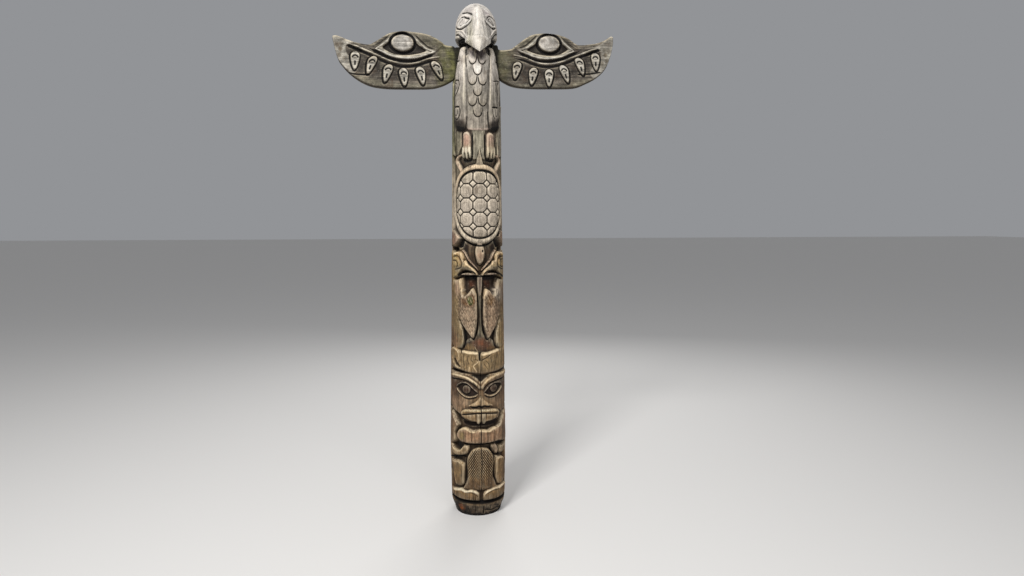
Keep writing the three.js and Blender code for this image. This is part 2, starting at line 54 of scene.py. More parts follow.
# Relief sheets: a sheet is a grid over a surface, u across and v up, in units of its own drawing.
# It holds the lift of the wood in millimetres, a painted shade and stain from 0 to 1, and a tint.

def newSheet(u, v, scale):
    # An empty sheet; scale gives millimetres for one unit across, row by row
    shape = (len(v), len(u))
    return {"u": u, "v": v, "scale": scale, "across": u[None, :] * scale[:, None],
            "upward": np.repeat(v[:, None], len(u), axis=1), "lift": np.zeros(shape),
            "stain": np.zeros(shape), "tint": np.ones(shape + (3,))}


def tone(text):
    # A linear colour from six hex digits
    values = np.array([int(text[i:i + 2], 16) for i in (0, 2, 4)]) / 255.0
    return np.where(values <= 0.04045, values / 12.92, ((values + 0.055) / 1.055) ** 2.4)


def mirror(points):
    # The same points on the other side
    return [(-u, v) for u, v in points]


def smoothed(points, closed, steps=6):
    # A Catmull-Rom curve through drawn points
    p = np.array(points, float)
    count = len(p)
    spans = count if closed else count - 1
    t = np.linspace(0, 1, steps, endpoint=False)[:, None]
    parts = []
    for i in range(spans):
        if closed:
            a, b, c, d = p[(i - 1) % count], p[i], p[(i + 1) % count], p[(i + 2) % count]
        else:
            a, b, c, d = p[max(i - 1, 0)], p[i], p[i + 1], p[min(i + 2, count - 1)]
        parts.append(0.5 * (2 * b + (c - a) * t + (2 * a - 5 * b + 4 * c - d) * t ** 2
                            + (3 * b - a - 3 * c + d) * t ** 3))
    if not closed:
        parts.append(p[-1:])
    return np.concatenate(parts)


def pathOn(sheet, points, closed=False, smooth=True):
    # The drawn points as a path in millimetres on the sheet
    path = smoothed(points, closed) if smooth and len(points) > 2 else np.array(points, float)
    if closed:
        path = np.concatenate([path, path[:1]])
    scale = np.interp(path[:, 1], sheet["v"], sheet["scale"])
    return np.column_stack([path[:, 0] * scale, path[:, 1]])


def windowOn(sheet, path, margin):
    # The part of the grid within a margin of a path
    low, high = path.min(0) - margin, path.max(0) + margin
    rows = slice(*np.searchsorted(sheet["v"], [low[1], high[1]]))
    scale = sheet["scale"][rows]
    small = scale.min() if len(scale) else 1.0
    big = scale.max() if len(scale) else 1.0
    left = low[0] / (small if low[0] < 0 else big)
    right = high[0] / (small if high[0] > 0 else big)
    return rows, slice(*np.searchsorted(sheet["u"], [left, right]))


def eased(share):
    # From 0 to 1 with level ends: three squares less two cubes
    return share * share * (3 - 2 * share)


def nearest(sheet, path, rows, cols):
    # Distance from a path, and how far along it its nearest place lies, from 0 to 1
    s, v = sheet["across"][rows, cols], sheet["upward"][rows, cols]
    best = np.full(s.shape, 1e9)
    share = np.zeros(s.shape)
    runs = np.hypot(*np.diff(path, axis=0).T)
    starts = np.concatenate([[0], np.cumsum(runs)])
    for i, run in enumerate(runs):
        if run < 1e-9:
            continue
        (sx, vx), (dx, dv) = path[i], (path[i + 1] - path[i]) / run
        t = np.clip((s - sx) * dx + (v - vx) * dv, 0, run)
        gap = np.hypot(s - sx - t * dx, v - vx - t * dv)
        closer = gap < best
        best[closer] = gap[closer]
        share[closer] = (starts[i] + t[closer]) / starts[-1]
    return best, share


def inside(sheet, path, rows, cols):
    # Which places a closed path holds, by counting its crossings of a level line
    s, v = sheet["across"][rows, cols], sheet["upward"][rows, cols]
    odd = np.zeros(s.shape, bool)
    for (s0, v0), (s1, v1) in zip(path[:-1], path[1:]):
        if v0 != v1:
            odd ^= ((v0 > v) != (v1 > v)) & (s < s0 + (v - v0) * (s1 - s0) / (v1 - v0))
    return odd


def area(sheet, points, margin=2.0, smooth=True):
    # The window round a closed outline, each place's distance from the outline, and whether it holds it
    path = pathOn(sheet, points, True, smooth)
    rows, cols = windowOn(sheet, path, margin)
    return rows, cols, nearest(sheet, path, rows, cols)[0], inside(sheet, path, rows, cols)


def darken(sheet, rows, cols, stain):
    # The painted shade and stain of a window is the greater of the old and the new
    sheet["stain"][rows, cols] = np.maximum(sheet["stain"][rows, cols], stain)


def form(sheet, points, height, edge=12.0, dome=0.0, tint=None, amount=1.0, smooth=True):
    # A raised form: from its outline the wood climbs in a quarter round to a height, then on by a dome
    rows, cols, gap, held = area(sheet, points, smooth=smooth)
    rise = np.sqrt(1 - (1 - np.clip(gap / edge, 0, 1)) ** 2)
    top = height + dome * (1 - np.exp(-gap / (2 * edge)))
    here = sheet["lift"][rows, cols]
    higher = held & (top > here)
    sheet["lift"][rows, cols] = np.where(higher, here + (top - here) * rise, here)
    sheet["stain"][rows, cols] *= np.where(higher, 1 - rise, 1)
    if tint is not None:
        blend(sheet, rows, cols, held * np.clip(gap / 6, 0, 1) * amount, tint)


def sink(sheet, points, level, edge=8.0, stain=0.0, smooth=True):
    # A recess: inside its outline the wood drops to a level, optionally darkened with painted shade
    rows, cols, gap, held = area(sheet, points, smooth=smooth)
    fall = eased(np.clip(gap / edge, 0, 1))
    here = sheet["lift"][rows, cols]
    lower = held & (level < here)
    sheet["lift"][rows, cols] = np.where(lower, here + (level - here) * fall, here)
    darken(sheet, rows, cols, held * fall * stain)


def ridge(sheet, points, widths, heights, tint=None, amount=1.0):
    # A rounded ridge along a path: across it the wood rises as half a circle does
    path = pathOn(sheet, points)
    rows, cols = windowOn(sheet, path, max(widths))
    gap, share = nearest(sheet, path, rows, cols)
    half = np.interp(share, np.linspace(0, 1, len(widths)), widths) / 2
    top = np.interp(share, np.linspace(0, 1, len(heights)), heights)
    rise = np.sqrt(np.clip(1 - (gap / half) ** 2, 0, 1))
    here = sheet["lift"][rows, cols]
    higher = (rise > 0) & (top > here)
    sheet["lift"][rows, cols] = np.where(higher, np.maximum(here, here + (top - here) * rise), here)
    sheet["stain"][rows, cols] *= np.where(higher, 1 - rise, 1)
    if tint is not None:
        blend(sheet, rows, cols, rise * amount, tint)


def cut(sheet, points, width, depth, stain=1.0, closed=False):
    # A knife cut along a path, deepest on its line and darkest there with painted shade
    path = pathOn(sheet, points, closed)
    rows, cols = windowOn(sheet, path, width)
    gap, share = nearest(sheet, path, rows, cols)
    ends = 1.0 if closed else np.clip(np.minimum(share, 1 - share) * 12, 0.25, 1)
    fall = np.clip(1 - gap / (width / 2 * ends), 0, 1)
    sheet["lift"][rows, cols] -= depth * fall * ends
    darken(sheet, rows, cols, stain * np.clip(fall * 2.4, 0, 1))


def crest(sheet, points, width, rise, tint, amount=1.0):
    # A raised edge along a path: the wood stands a little prouder there and takes a tint, mostly a pale
    # painted highlight on a lit and worn edge
    path = pathOn(sheet, points)
    rows, cols = windowOn(sheet, path, width)
    gap, share = nearest(sheet, path, rows, cols)
    ends = np.clip(np.minimum(share, 1 - share) * 10, 0.2, 1)
    fall = eased(np.clip(1 - gap / (width / 2), 0, 1) * ends)
    sheet["lift"][rows, cols] += rise * fall
    sheet["stain"][rows, cols] *= 1 - fall
    blend(sheet, rows, cols, fall * amount, tint)


def blend(sheet, rows, cols, mask, tint):
    # Turns the tint of a window towards a colour
    here = sheet["tint"][rows, cols]
    sheet["tint"][rows, cols] = here + (tone(tint) - here) * mask[..., None]


def wash(sheet, points, tint, amount=1.0, soft=20.0, stain=0.0):
    # A soft-edged patch of colour, often painted shade or painted light; it can also add painted shade and
    # stain
    rows, cols, gap, held = area(sheet, points, soft)
    mask = eased(np.clip(0.5 + np.where(held, gap, -gap) / soft, 0, 1))
    if amount:
        blend(sheet, rows, cols, mask * amount, tint)
    if stain:
        darken(sheet, rows, cols, mask * stain)


def ripple(sheet, cellAcross, cellUp, seed, wrap=None):
    # Smooth noise from -1 to 1: random values on a lattice of cells, eased between them
    chance = np.random.default_rng(seed)
    middle = float(np.median(sheet["scale"]))
    u = (sheet["u"] - sheet["u"][0]) * middle / cellAcross
    v = (sheet["v"] - sheet["v"][0]) / cellUp
    count = int(u.max()) + 2
    if wrap:
        count = max(3, round(wrap * middle / cellAcross))
        u = (sheet["u"] - sheet["u"][0]) / wrap * count
    lattice = chance.uniform(-1, 1, (int(v.max()) + 2, count))
    ui, vi = u.astype(int), v.astype(int)
    uf, vf = eased(u - ui), eased(v - vi)[:, None]
    low = lattice[vi][:, ui % count] * (1 - uf) + lattice[vi][:, (ui + 1) % count] * uf
    high = lattice[vi + 1][:, ui % count] * (1 - uf) + lattice[vi + 1][:, (ui + 1) % count] * uf
    return low * (1 - vf) + high * vf


def averaged(values, rows, cols):
    # A running mean over a box of rows and columns, taken twice
    for axis, reach in ((0, rows), (1, cols), (0, rows), (1, cols)):
        pad = [(0, 0), (0, 0)]
        pad[axis] = (reach + 1, reach)
        total = np.cumsum(np.pad(values, pad, mode="edge"), axis=axis)
        size = 2 * reach + 1
        if axis == 0:
            values = (total[size:] - total[:-size]) / size
        else:
            values = (total[:, size:] - total[:, :-size]) / size
    return values


def sampled(sheet, values, u, v):
    # Values of a field at places on the sheet, straight between its grid points
    x = np.interp(u, sheet["u"], np.arange(len(sheet["u"])))
    y = np.interp(v, sheet["v"], np.arange(len(sheet["v"])))
    i, j = np.minimum(x.astype(int), len(sheet["u"]) - 2), np.minimum(y.astype(int), len(sheet["v"]) - 2)
    fx, fy = x - i, y - j
    if values.ndim == 3:
        fx, fy = fx[:, None], fy[:, None]
    low = values[j, i] * (1 - fx) + values[j, i + 1] * fx
    high = values[j + 1, i] * (1 - fx) + values[j + 1, i + 1] * fx
    return low * (1 - fy) + high * fy


# The pole. Its drawing is in degrees round the log from the front and in millimetres above the ground.
pole = {
    "columnStep": 0.55,
    "backStep": 3.0,
    "rowStep": 2.2,
    "triangles": 184000,
    "carvingDepth": 34.0,
    "grainDepth": 0.6,
    "shortChecks": 70,
    "deeperCuts": 6.0,
    "shadeAndWearSpacing": 1.55,
    "neckShadingLevel": 3080,
    "backBlend": 90,
}
headFoot = 3040.0
poleTop = 3300.0
headRadius = 132.0
uprightShare = 0.3
girthLevels = [0, 88, 450, 956, 1360, 2030, 2760, 2850, 3039]
girthRadii = [150, 178, 184, 178, 170, 162, 154, 150, 128]
groundLevels = [0, 84, 96, 112, 300, 640, 700, 930, 1105, 1400, 1470, 1600, 1640, 1850, 2230, 2500, 2800,
                2960, 3039]
groundShares = [0, 0, .7, .75, 1, 1, .9, .9, 1, 1, 1.35, 1.35, .9, .8, .7, .5, .5, .6, 1.3]

shares = np.linspace(0, 1, 4000)
climb = np.clip((shares - uprightShare) / (1 - uprightShare), 0, 1)
domeReach = headRadius * np.sqrt(np.clip(1 - climb ** 2.2, 0, 1))
domeLevel = headFoot + (poleTop - headFoot) * shares
domeRun = np.concatenate([[0], np.cumsum(np.hypot(np.diff(domeReach), np.diff(domeLevel)))])
domeSteps = np.arange(0, domeRun[-1] - 3, pole["rowStep"])
domeRows = np.interp(domeSteps, domeRun, domeLevel)
logRows = np.arange(0, headFoot - 1, pole["rowStep"])
levels = np.concatenate([logRows, domeRows])
rowReach = np.concatenate([np.interp(logRows, girthLevels, girthRadii),
                           np.interp(domeSteps, domeRun, domeReach)])
onHead = levels >= headFoot
outlineTurn = np.unwrap(np.arctan2(np.gradient(rowReach, levels), 1.0))
outlineTurn[~onHead] = 0

backAngles = np.arange(-180, -100, pole["backStep"])
frontAngles = np.arange(-99, 99.01, pole["columnStep"])
angles = np.concatenate([backAngles, frontAngles, -backAngles[:0:-1]])
log = newSheet(angles, levels, np.radians(np.where(onHead, headRadius, rowReach)))
frontShare = np.interp(np.abs(angles), [80, 89], [1, 0])[None, :]
groundLift = -pole["carvingDepth"] * np.interp(levels, groundLevels, groundShares)[:, None] * frontShare
log["lift"] = np.where(onHead[:, None], 0, groundLift)

# Weathered greys above, warmer browns below
toneLevels = [0, 70, 110, 300, 700, 960, 1100, 1180, 1450, 1560, 1740, 1800, 2000, 2260, 2300, 2480, 2520,
              2800, 3000, 3060, 3300]
toneNames = ["4a4744", "5d5a55", "8c7654", "8f7a58", "947f5e", "9c865f", "94805c", "937f62", "a08e70",
             "a18e69", "93815f", "a39a83", "b3aa96", "aca288", "8f8a70", "969078", "a29c8a", "a7a192",
             "aaa596", "bdb9ab", "c6c2b5"]
tones = np.array([tone(name) for name in toneNames])
for channel in range(3):
    log["tint"][..., channel] = np.interp(levels, toneLevels, tones[:, channel])[:, None]
# Cut-away ground is darker than the figures: painted shade in the recesses
shade = np.clip(-groundLift / pole["carvingDepth"], 0, 1)
shade[onHead] = 0
log["tint"] *= (1 - 0.42 * shade)[..., None]


def ellipse(x, z, wide, high, count):
    # Points round an ellipse: the middle plus the half width times the cosine and the half height times
    # the sine
    return [(x + wide * math.cos(a), z + high * math.sin(a))
            for a in np.linspace(0, 2 * math.pi, count, endpoint=False)]


def both(build, points, *values, **options):
    # The same carving on both sides
    build(log, points, *values, **options)
    build(log, mirror(points), *values, **options)


def carveBeaver():
    # Feet, shins, tail, paws, gnawed stick, and the face with its two front teeth
    tail = [(-15, 459), (1, 465), (16, 457), (27, 420), (32, 377), (31, 330), (30, 270), (38, 215),
            (40, 180), (0, 176), (-40, 180), (-38, 215), (-31, 270), (-33, 330), (-32, 389), (-25, 430)]
    form(log, tail, -4, edge=24, dome=3, tint="8b7352")
    footLeft = [(-96, 112), (-96, 160), (-83, 160), (-62, 172), (-47, 184), (-31, 178), (-20, 190),
                (-10, 182), (-3, 158), (-3, 108), (-50, 106)]
    footRight = [(4, 108), (5, 150), (8, 166), (14, 182), (24, 190), (33, 197), (46, 190), (64, 196),
                 (84, 182), (96, 190), (96, 112), (44, 104)]
    form(log, footLeft, 0, edge=14, tint="8d7755", smooth=False)
    form(log, footRight, 0, edge=14, tint="8d7755", smooth=False)
    # Painted highlight along the lit tops of the feet
    crest(log, [(-78, 156), (-62, 164), (-47, 177), (-33, 168), (-21, 178), (-10, 168), (-4, 146)], 28, 3,
          "fbeccc")
    crest(log, [(6, 146), (12, 166), (22, 178), (33, 184), (46, 179), (64, 184), (84, 172)], 27, 3, "f6e4c2")
    cut(log, [(-36, 158), (-24, 166), (-12, 152), (-6, 136)], 8, 2, stain=0.5)
    cut(log, [(8, 140), (14, 158), (28, 172), (46, 166)], 8, 2, stain=0.5)
    # Painted shade on the feet's front faces
    wash(log, [(-96, 134), (-50, 134), (-8, 132), (-4, 110), (-50, 106), (-96, 110)], "5f4c35", 0.55)
    wash(log, [(6, 132), (50, 134), (96, 136), (96, 110), (50, 106), (5, 110)], "5f4c35", 0.55)
    shinLeft = [(-94, 352), (-79, 356), (-57, 368), (-43, 360), (-38, 339), (-39, 265), (-41, 205),
                (-64, 190), (-74, 236), (-90, 297)]
    shinRight = [(36, 391), (47, 392), (64, 376), (74, 340), (84, 330), (80, 255), (68, 200), (40, 204),
                 (34, 311)]
    form(log, shinLeft, -2, edge=20, tint="99835f")
    form(log, shinRight, -2, edge=20, tint="927c5b")
    crest(log, [(-86, 344), (-70, 352), (-56, 360), (-44, 352), (-42, 330)], 18, 2, "c8ae84", 0.8)
    crest(log, [(38, 376), (48, 380), (60, 370), (68, 348)], 22, 2, "d0b489", 0.9)
    cut(log, [(-92, 366), (-79, 372), (-60, 390), (-46, 398), (-34, 398)], 17, 9)
    cut(log, [(-37, 390), (-36, 330), (-37, 270), (-39, 220)], 9, 6, stain=0.95)
    cut(log, [(34, 386), (33, 330), (34, 270), (40, 205)], 8, 5, stain=0.85)
    cut(log, [(-92, 300), (-84, 270), (-74, 225), (-66, 188)], 12, 8, stain=0.95)
    cut(log, [(88, 330), (84, 260), (74, 205)], 10, 6, stain=0.8)
    # Painted light on the lit wedge beside the tail; painted shade below the tail and along the shins' sides
    wash(log, [(-36, 262), (-30, 262), (-34, 214), (-38, 214)], "a89f8b", 0.8, soft=10)
    wash(log, [(-34, 215), (-30, 262), (0, 240), (30, 262), (36, 215), (34, 190), (-34, 190)], "6a5843",
         0.7, soft=24)
    wash(log, [(-96, 330), (-80, 330), (-70, 210), (-96, 200)], "4a3c2c", 0.75, soft=24)
    wash(log, [(-44, 300), (-38, 300), (-40, 200), (-60, 192), (-56, 220)], "4f3f2e", 0.6, soft=14)
    wash(log, [(62, 330), (84, 330), (84, 210), (60, 210)], "5a4833", 0.6, soft=24)
    crossHatch([(-15, 455), (1, 460), (15, 452), (25, 415), (29, 372), (28, 330), (26, 250), (-27, 250),
                (-30, 330), (-29, 385), (-23, 425)])
    crest(log, [(-31, 380), (-25, 424), (-14, 455), (1, 461), (15, 454), (26, 420), (31, 384)], 16, 2.5,
          "cdb48a", 0.9)
    pawLeft = [(-88, 452), (-80, 404), (-64, 394), (-48, 404), (-31, 422), (-26, 458), (-29, 486),
               (-37, 484), (-42, 470), (-48, 448), (-60, 438), (-72, 448), (-84, 476)]
    form(log, pawLeft, 0, edge=14, tint="a89270")
    crest(log, [(-78, 442), (-68, 436), (-58, 432), (-48, 438), (-42, 456), (-36, 470)], 14, 3, "dcc69b",
          0.95)
    sink(log, [(-72, 452), (-60, 443), (-50, 452), (-44, 474), (-52, 486), (-72, 480)], -38, edge=5,
         stain=0.8)
    form(log, [(24, 472), (30, 489), (38, 470), (41, 440), (36, 412), (27, 438)], -2, edge=10, tint="a08c76")
    form(log, [(43, 468), (52, 462), (84, 462), (80, 420), (60, 404), (46, 412), (43, 437)], -4,
         tint="8f7a5b")
    cut(log, [(22, 470), (25, 440), (34, 410), (46, 400), (62, 396)], 12, 8)
    cut(log, [(42, 466), (43, 440), (41, 414)], 7, 5, stain=0.9)
    sink(log, [(36, 494), (68, 476), (84, 478), (84, 462), (54, 464), (44, 472)], -30, edge=4, stain=1.0)
    stick = [(-60, 546), (-54, 574), (-46, 590), (-36, 599), (-27, 594), (-17, 585), (-1, 590), (14, 586),
             (24, 594), (36, 598), (48, 610), (56, 640), (70, 700), (84, 700), (88, 470), (68, 474),
             (42, 494), (21, 492), (-4, 492), (-29, 491), (-46, 496), (-57, 515)]
    form(log, stick, 0, edge=16, tint="a88b6e", smooth=False)
    crest(log, [(-58, 550), (-52, 572), (-44, 586), (-36, 593), (-29, 588), (-24, 578), (-17, 573),
                (-8, 580)], 17, 3, "edd3a4")
    crest(log, [(-8, 578), (0, 582), (10, 578), (20, 576), (26, 588), (38, 592)], 20, 3, "edd3a4")
    crest(log, [(36, 592), (47, 600), (55, 630), (62, 660), (70, 694)], 16, 3, "c9bd9e", 0.9)
    crest(log, [(-44, 606), (-26, 600), (-6, 604), (20, 602), (34, 612), (46, 622)], 12, 2, "8f8266", 0.9)
    wash(log, [(-48, 560), (-38, 566), (-36, 520), (-48, 524)], "8f8a52", 0.5, soft=16)
    wash(log, [(54, 590), (80, 590), (80, 490), (56, 500)], "6a6258", 0.6, soft=24)
    cut(log, [(-54, 502), (-42, 487), (-20, 485), (0, 484), (22, 486), (38, 488)], 13, 8)
    cut(log, [(-64, 592), (-62, 550), (-58, 512)], 13, 9)
    upperArm = [(-92, 470), (-66, 484), (-64, 540), (-58, 580), (-52, 606), (-60, 640), (-74, 690),
                (-84, 686), (-94, 600)]
    form(log, upperArm, 0, edge=16, tint="957f62")
    crest(log, [(-78, 676), (-66, 640), (-56, 606)], 18, 2, "bda58a", 0.8)
    # Painted shade in the hollow between the chin and the stick
    sink(log, [(-50, 664), (-42, 672), (42, 672), (52, 654), (44, 612), (0, 604), (-42, 612)], -40, stain=0.5)
    wash(log, [(-46, 650), (-30, 640), (0, 632), (30, 640), (48, 650), (42, 612), (0, 600), (-42, 612)],
         "4a3836", 0.9, soft=16)

    face = [(-96, 958), (96, 958), (96, 730), (84, 716), (67, 690), (50, 676), (42, 640), (0, 632),
            (-42, 640), (-48, 676), (-58, 686), (-75, 696), (-86, 720), (-96, 730)]
    form(log, face, -6, tint="9a8364", smooth=False)
    # Painted shade in the eye sockets, round the eyes' outer corners and on the face's turned sides; painted
    # light on the upper cheeks
    both(wash, [(96, 930), (60, 920), (40, 916), (14, 880), (5, 840), (10, 800), (30, 790), (60, 826),
                (70, 880)], "473527", 0.9, soft=24)
    wash(log, [(-90, 800), (-60, 790), (-36, 788), (-24, 760), (-44, 724), (-70, 714), (-90, 740)],
         "bda68b", 0.8, soft=50)
    wash(log, [(90, 800), (60, 790), (36, 788), (26, 760), (46, 722), (70, 712), (90, 740)], "ab957b", 0.75,
         soft=50)
    wash(log, [(-90, 900), (-62, 896), (-52, 850), (-44, 800), (-64, 790), (-84, 810)], "59402f", 0.7,
         soft=34)
    wash(log, [(84, 896), (62, 890), (54, 850), (44, 806), (60, 800), (80, 820)], "60483a", 0.6, soft=34)
    browLeft = [(-84, 922), (-49, 930), (-30, 921), (-19, 906), (-3, 868)]
    browRight = [(84, 940), (60, 928), (37, 925), (22, 914), (11, 898), (3, 866)]
    ridge(log, browLeft, [26, 30, 30, 26], [4, 7, 9, 9], tint="6a5339", amount=0.95)
    ridge(log, browRight, [34, 34, 34, 26], [3, 6, 9, 9], tint="755c3f", amount=0.95)
    crest(log, [(-86, 938), (-49, 940), (-28, 931), (-16, 910), (-2, 878)], 17, 3, "f0dab0")
    crest(log, [(84, 952), (62, 946), (39, 943), (22, 931), (11, 908), (3, 878)], 20, 3, "e6cc9d")
    cut(log, [(-84, 902), (-49, 915), (-32, 913), (-22, 901), (-12, 881), (-4, 858)], 12, 8)
    cut(log, [(84, 914), (69, 906), (33, 903), (19, 891), (10, 874), (4, 852)], 12, 8)
    sink(log, [(-24, 952), (-19, 942), (-9, 924), (0, 900), (10, 921), (18, 944), (24, 954)], -24, stain=0.3)
    wash(log, [(-22, 950), (-9, 925), (0, 904), (10, 923), (20, 948)], "34321f", 0.95, soft=8, stain=0.3)
    for lid, lower, iris in (
            ([(-60, 862), (-49, 885), (-40, 895), (-29, 892), (-18, 864), (-7, 834)],
             [(-60, 856), (-49, 831), (-38, 811), (-26, 802), (-12, 811), (-6, 824)], (-32, 850)),
            ([(7, 832), (19, 874), (33, 890), (50, 884), (58, 868)],
             [(7, 828), (19, 810), (35, 815), (50, 842), (57, 862)], (31, 855))):
        almond = lid + lower[::-1]
        sink(log, almond, -15, stain=0.3)
        wash(log, almond, "3f2c20", 0.95, soft=6)
        disk = ellipse(*iris, 10.5, 30, 12)
        form(log, disk, -7, dome=2, tint="523526")
        wash(log, disk, "4b3022", 1.0, soft=6, stain=0.22)
        cut(log, disk, 8, 3, closed=True)
        crest(log, lid, 13, 7, "93867a", 0.9)
        crest(log, lower, 13, 8, "c4ab86", 0.95)
        cut(log, [(a, z - 13) for a, z in lower], 9, 4, stain=0.8)
        cut(log, [(a, z - 9) for a, z in lid], 7, 3, stain=0.9)
    nose = [(0, 812), (6, 790), (14, 768), (26, 748), (22, 738), (0, 737), (-22, 738), (-26, 748),
            (-14, 768), (-6, 790)]
    form(log, nose, 4, edge=22, dome=6, tint="bfa57e")
    crest(log, [(-3, 800), (-9, 776), (-20, 756)], 18, 1, "d4bb90", 0.6)
    crest(log, [(4, 796), (12, 772), (26, 754)], 18, 1, "cbb389", 0.6)
    lips = [(-44, 690), (-43, 706), (-34, 722), (-22, 726), (0, 727), (22, 725), (36, 718), (43, 702),
            (44, 690), (38, 665), (25, 650), (10, 642), (-10, 643), (-26, 654), (-40, 670)]
    form(log, lips, 5, dome=5, tint="a8916b")
    crest(log, [(-42, 698), (-33, 714), (-20, 717), (0, 716), (22, 715), (34, 708), (42, 694)], 22, 4,
          "e2cb9c")
    crest(log, [(-18, 718), (0, 719), (22, 716)], 9, 1, "c3c0a0", 0.8)
    cut(log, [(-25, 742), (-16, 737), (-9, 738), (-4, 745), (1, 738), (8, 745), (14, 739), (23, 743)], 17, 9)
    cut(log, [(-42, 684), (-26, 693), (-9, 699), (10, 698), (26, 693), (40, 686)], 13, 10)
    crest(log, [(-40, 670), (-26, 657), (-10, 651), (10, 650), (26, 655), (38, 668)], 12, 2, "c2ab80", 0.85)
    cut(log, [(-46, 668), (-30, 641), (-12, 633), (10, 631), (26, 637), (42, 656)], 18, 9)
    for left in (-9.5, 1.2):
        tooth = [(left, 696), (left, 640), (left + 2, 629), (left + 6, 627), (left + 8.3, 640),
                 (left + 8.5, 696)]
        form(log, tooth, 12, edge=5, tint="a1957a", smooth=False)
    cut(log, [(0, 700), (0, 626)], 5, 6)
    cut(log, [(-10, 694), (-10, 660)], 5, 3, stain=0.8)
    cut(log, [(11, 694), (11, 660)], 5, 3, stain=0.8)
    both(cut, [(96, 720), (84, 712), (67, 690), (50, 676), (44, 650)], 13, 9)
    # Painted shade in the crevices beside the mouth
    wash(log, [(44, 706), (52, 690), (54, 650), (44, 660)], "100b08", 0.9, soft=14, stain=0.8)
    wash(log, [(-60, 690), (-46, 680), (-44, 640), (-56, 650)], "1a1210", 0.9, soft=16, stain=0.7)


def crossHatch(outline):
    # Slanting cuts both ways over the tail: each lies where a slanting count of pitches is whole
    pitchAcross, pitchUp, pitch, width = 14.5, 21.0, 11.9, 2.6
    rows, cols, gap, held = area(log, outline)
    s, v = log["across"][rows, cols], log["upward"][rows, cols]
    cuts = np.zeros(s.shape)
    for slant in (-1, 1):
        turns = s / pitchAcross + slant * v / pitchUp
        cuts = np.maximum(cuts, np.clip(1.3 - np.abs(turns - np.round(turns)) * pitch / width, 0, 1))
    fade = held * np.clip(gap / 8, 0, 1) * np.interp(v, [240, 310], [0.2, 1])
    log["lift"][rows, cols] += (1.5 - 4.5 * cuts) * fade
    # Painted shade in the cuts; the wood between them takes a paler tint
    darken(log, rows, cols, 0.85 * cuts * fade)
    blend(log, rows, cols, (1 - cuts) * fade * 0.6, "b39a72")


def carveBand():
    # The band above the beaver's brow, its bruised and scratched wood, and its ears
    band = [(-56, 978), (-40, 966), (-21, 955), (-5, 952), (17, 954), (43, 960), (62, 966), (92, 976),
            (92, 1130), (74, 1142), (60, 1124), (44, 1110), (25, 1101), (10, 1097), (-5, 1100), (-28, 1104),
            (-44, 1106), (-46, 1040)]
    form(log, band, 0, edge=16, tint="98835f", smooth=False)
    earLeft = [(-46, 984), (-44, 1027), (-42, 1069), (-46, 1100), (-56, 1118), (-72, 1122), (-88, 1100),
               (-92, 1060), (-84, 990), (-60, 974)]
    form(log, earLeft, 3, edge=16, tint="9c855f")
    crest(log, [(-82, 1106), (-74, 1112), (-60, 1108), (-51, 1086), (-49, 1050), (-52, 1034)], 17, 3,
          "dcc49a")
    sink(log, [(-53, 1026), (-60, 1050), (-68, 1040), (-62, 1006), (-50, 990), (-44, 1000)], -10, stain=0.5)
    crest(log, [(-77, 1060), (-71, 1030), (-64, 1002)], 11, 2, "c2a981", 0.8)
    crest(log, [(92, 1140), (74, 1130), (68, 1108), (60, 1088)], 20, 3, "cdbd98")
    crest(log, [(-44, 1100), (-34, 1096), (-27, 1090), (-20, 1092), (-12, 1089), (-5, 1090)], 24, 3, "f3dbb0")
    crest(log, [(-1, 1086), (6, 1080), (12, 1086), (18, 1084), (25, 1092), (36, 1097), (48, 1106)], 24, 3,
          "f3dbb0")
    crest(log, [(-13.5, 1134), (-11, 1118), (-7, 1101), (-4.5, 1086)], 10, 3, "e4cb9f", 0.9)
    crest(log, [(-3.7, 1042), (-9, 1024), (-15, 1007), (-10, 980), (-5.6, 957)], 11, 3, "dfc69b")
    crest(log, [(-24, 1004), (-25, 980), (-27, 960)], 14, 2, "c9b189", 0.9)
    crest(log, [(-32, 1040), (-28, 1000), (-31, 966)], 10, 1, "b39d78", 0.7)
    crest(log, [(14, 1062), (30, 1080), (40, 1094)], 9, 1, "c2aa82", 0.7)
    cut(log, [(1, 1042), (8, 1054), (14, 1062), (22, 1078)], 9, 3, stain=0.75)
    cut(log, [(-4, 1040), (-10, 1050), (-15, 1046)], 7, 2, stain=0.5)
    for line in ([(7, 1020), (12, 1000), (15, 984)], [(12, 1040), (18, 1016), (20, 992)],
                 [(22, 1060), (25, 1020), (24, 980)], [(32, 1074), (34, 1020), (31, 974)],
                 [(40, 1084), (45, 1040), (42, 990)], [(56, 1100), (60, 1050), (54, 990)],
                 [(66, 1110), (70, 1060), (64, 1000)], [(-18, 1080), (-20, 1050), (-16, 1030)],
                 [(-26, 1076), (-28, 1046), (-24, 1016)], [(-36, 1084), (-38, 1040), (-34, 1000)],
                 [(-12, 1076), (-11, 1052), (-13, 1030)], [(-18, 1000), (-20, 976), (-17, 958)],
                 [(-34, 994), (-36, 976), (-38, 964)]):
        cut(log, line, 6.5, 2.5, stain=0.55)
    # Painted shade on the lower part of the band
    wash(log, [(-80, 1000), (-50, 984), (-36, 974), (-22, 966), (-10, 968), (-8, 948), (-60, 950),
               (-84, 960)], "4b3d3c", 0.75, soft=18)
    wash(log, [(4, 966), (30, 968), (60, 982), (86, 996), (86, 960), (30, 952), (4, 950)], "54463c", 0.6,
         soft=16)
    cut(log, [(-96, 960), (-58, 957), (-32, 950), (-21, 944), (-12, 948), (-4, 954), (4, 948), (16, 950),
              (35, 955), (65, 957), (96, 960)], 13, 10)
    sink(log, [(6, 1098), (1, 1086), (0, 1044), (-4, 1044), (-5, 1086), (-7, 1099)], -12, edge=4, stain=0.95)


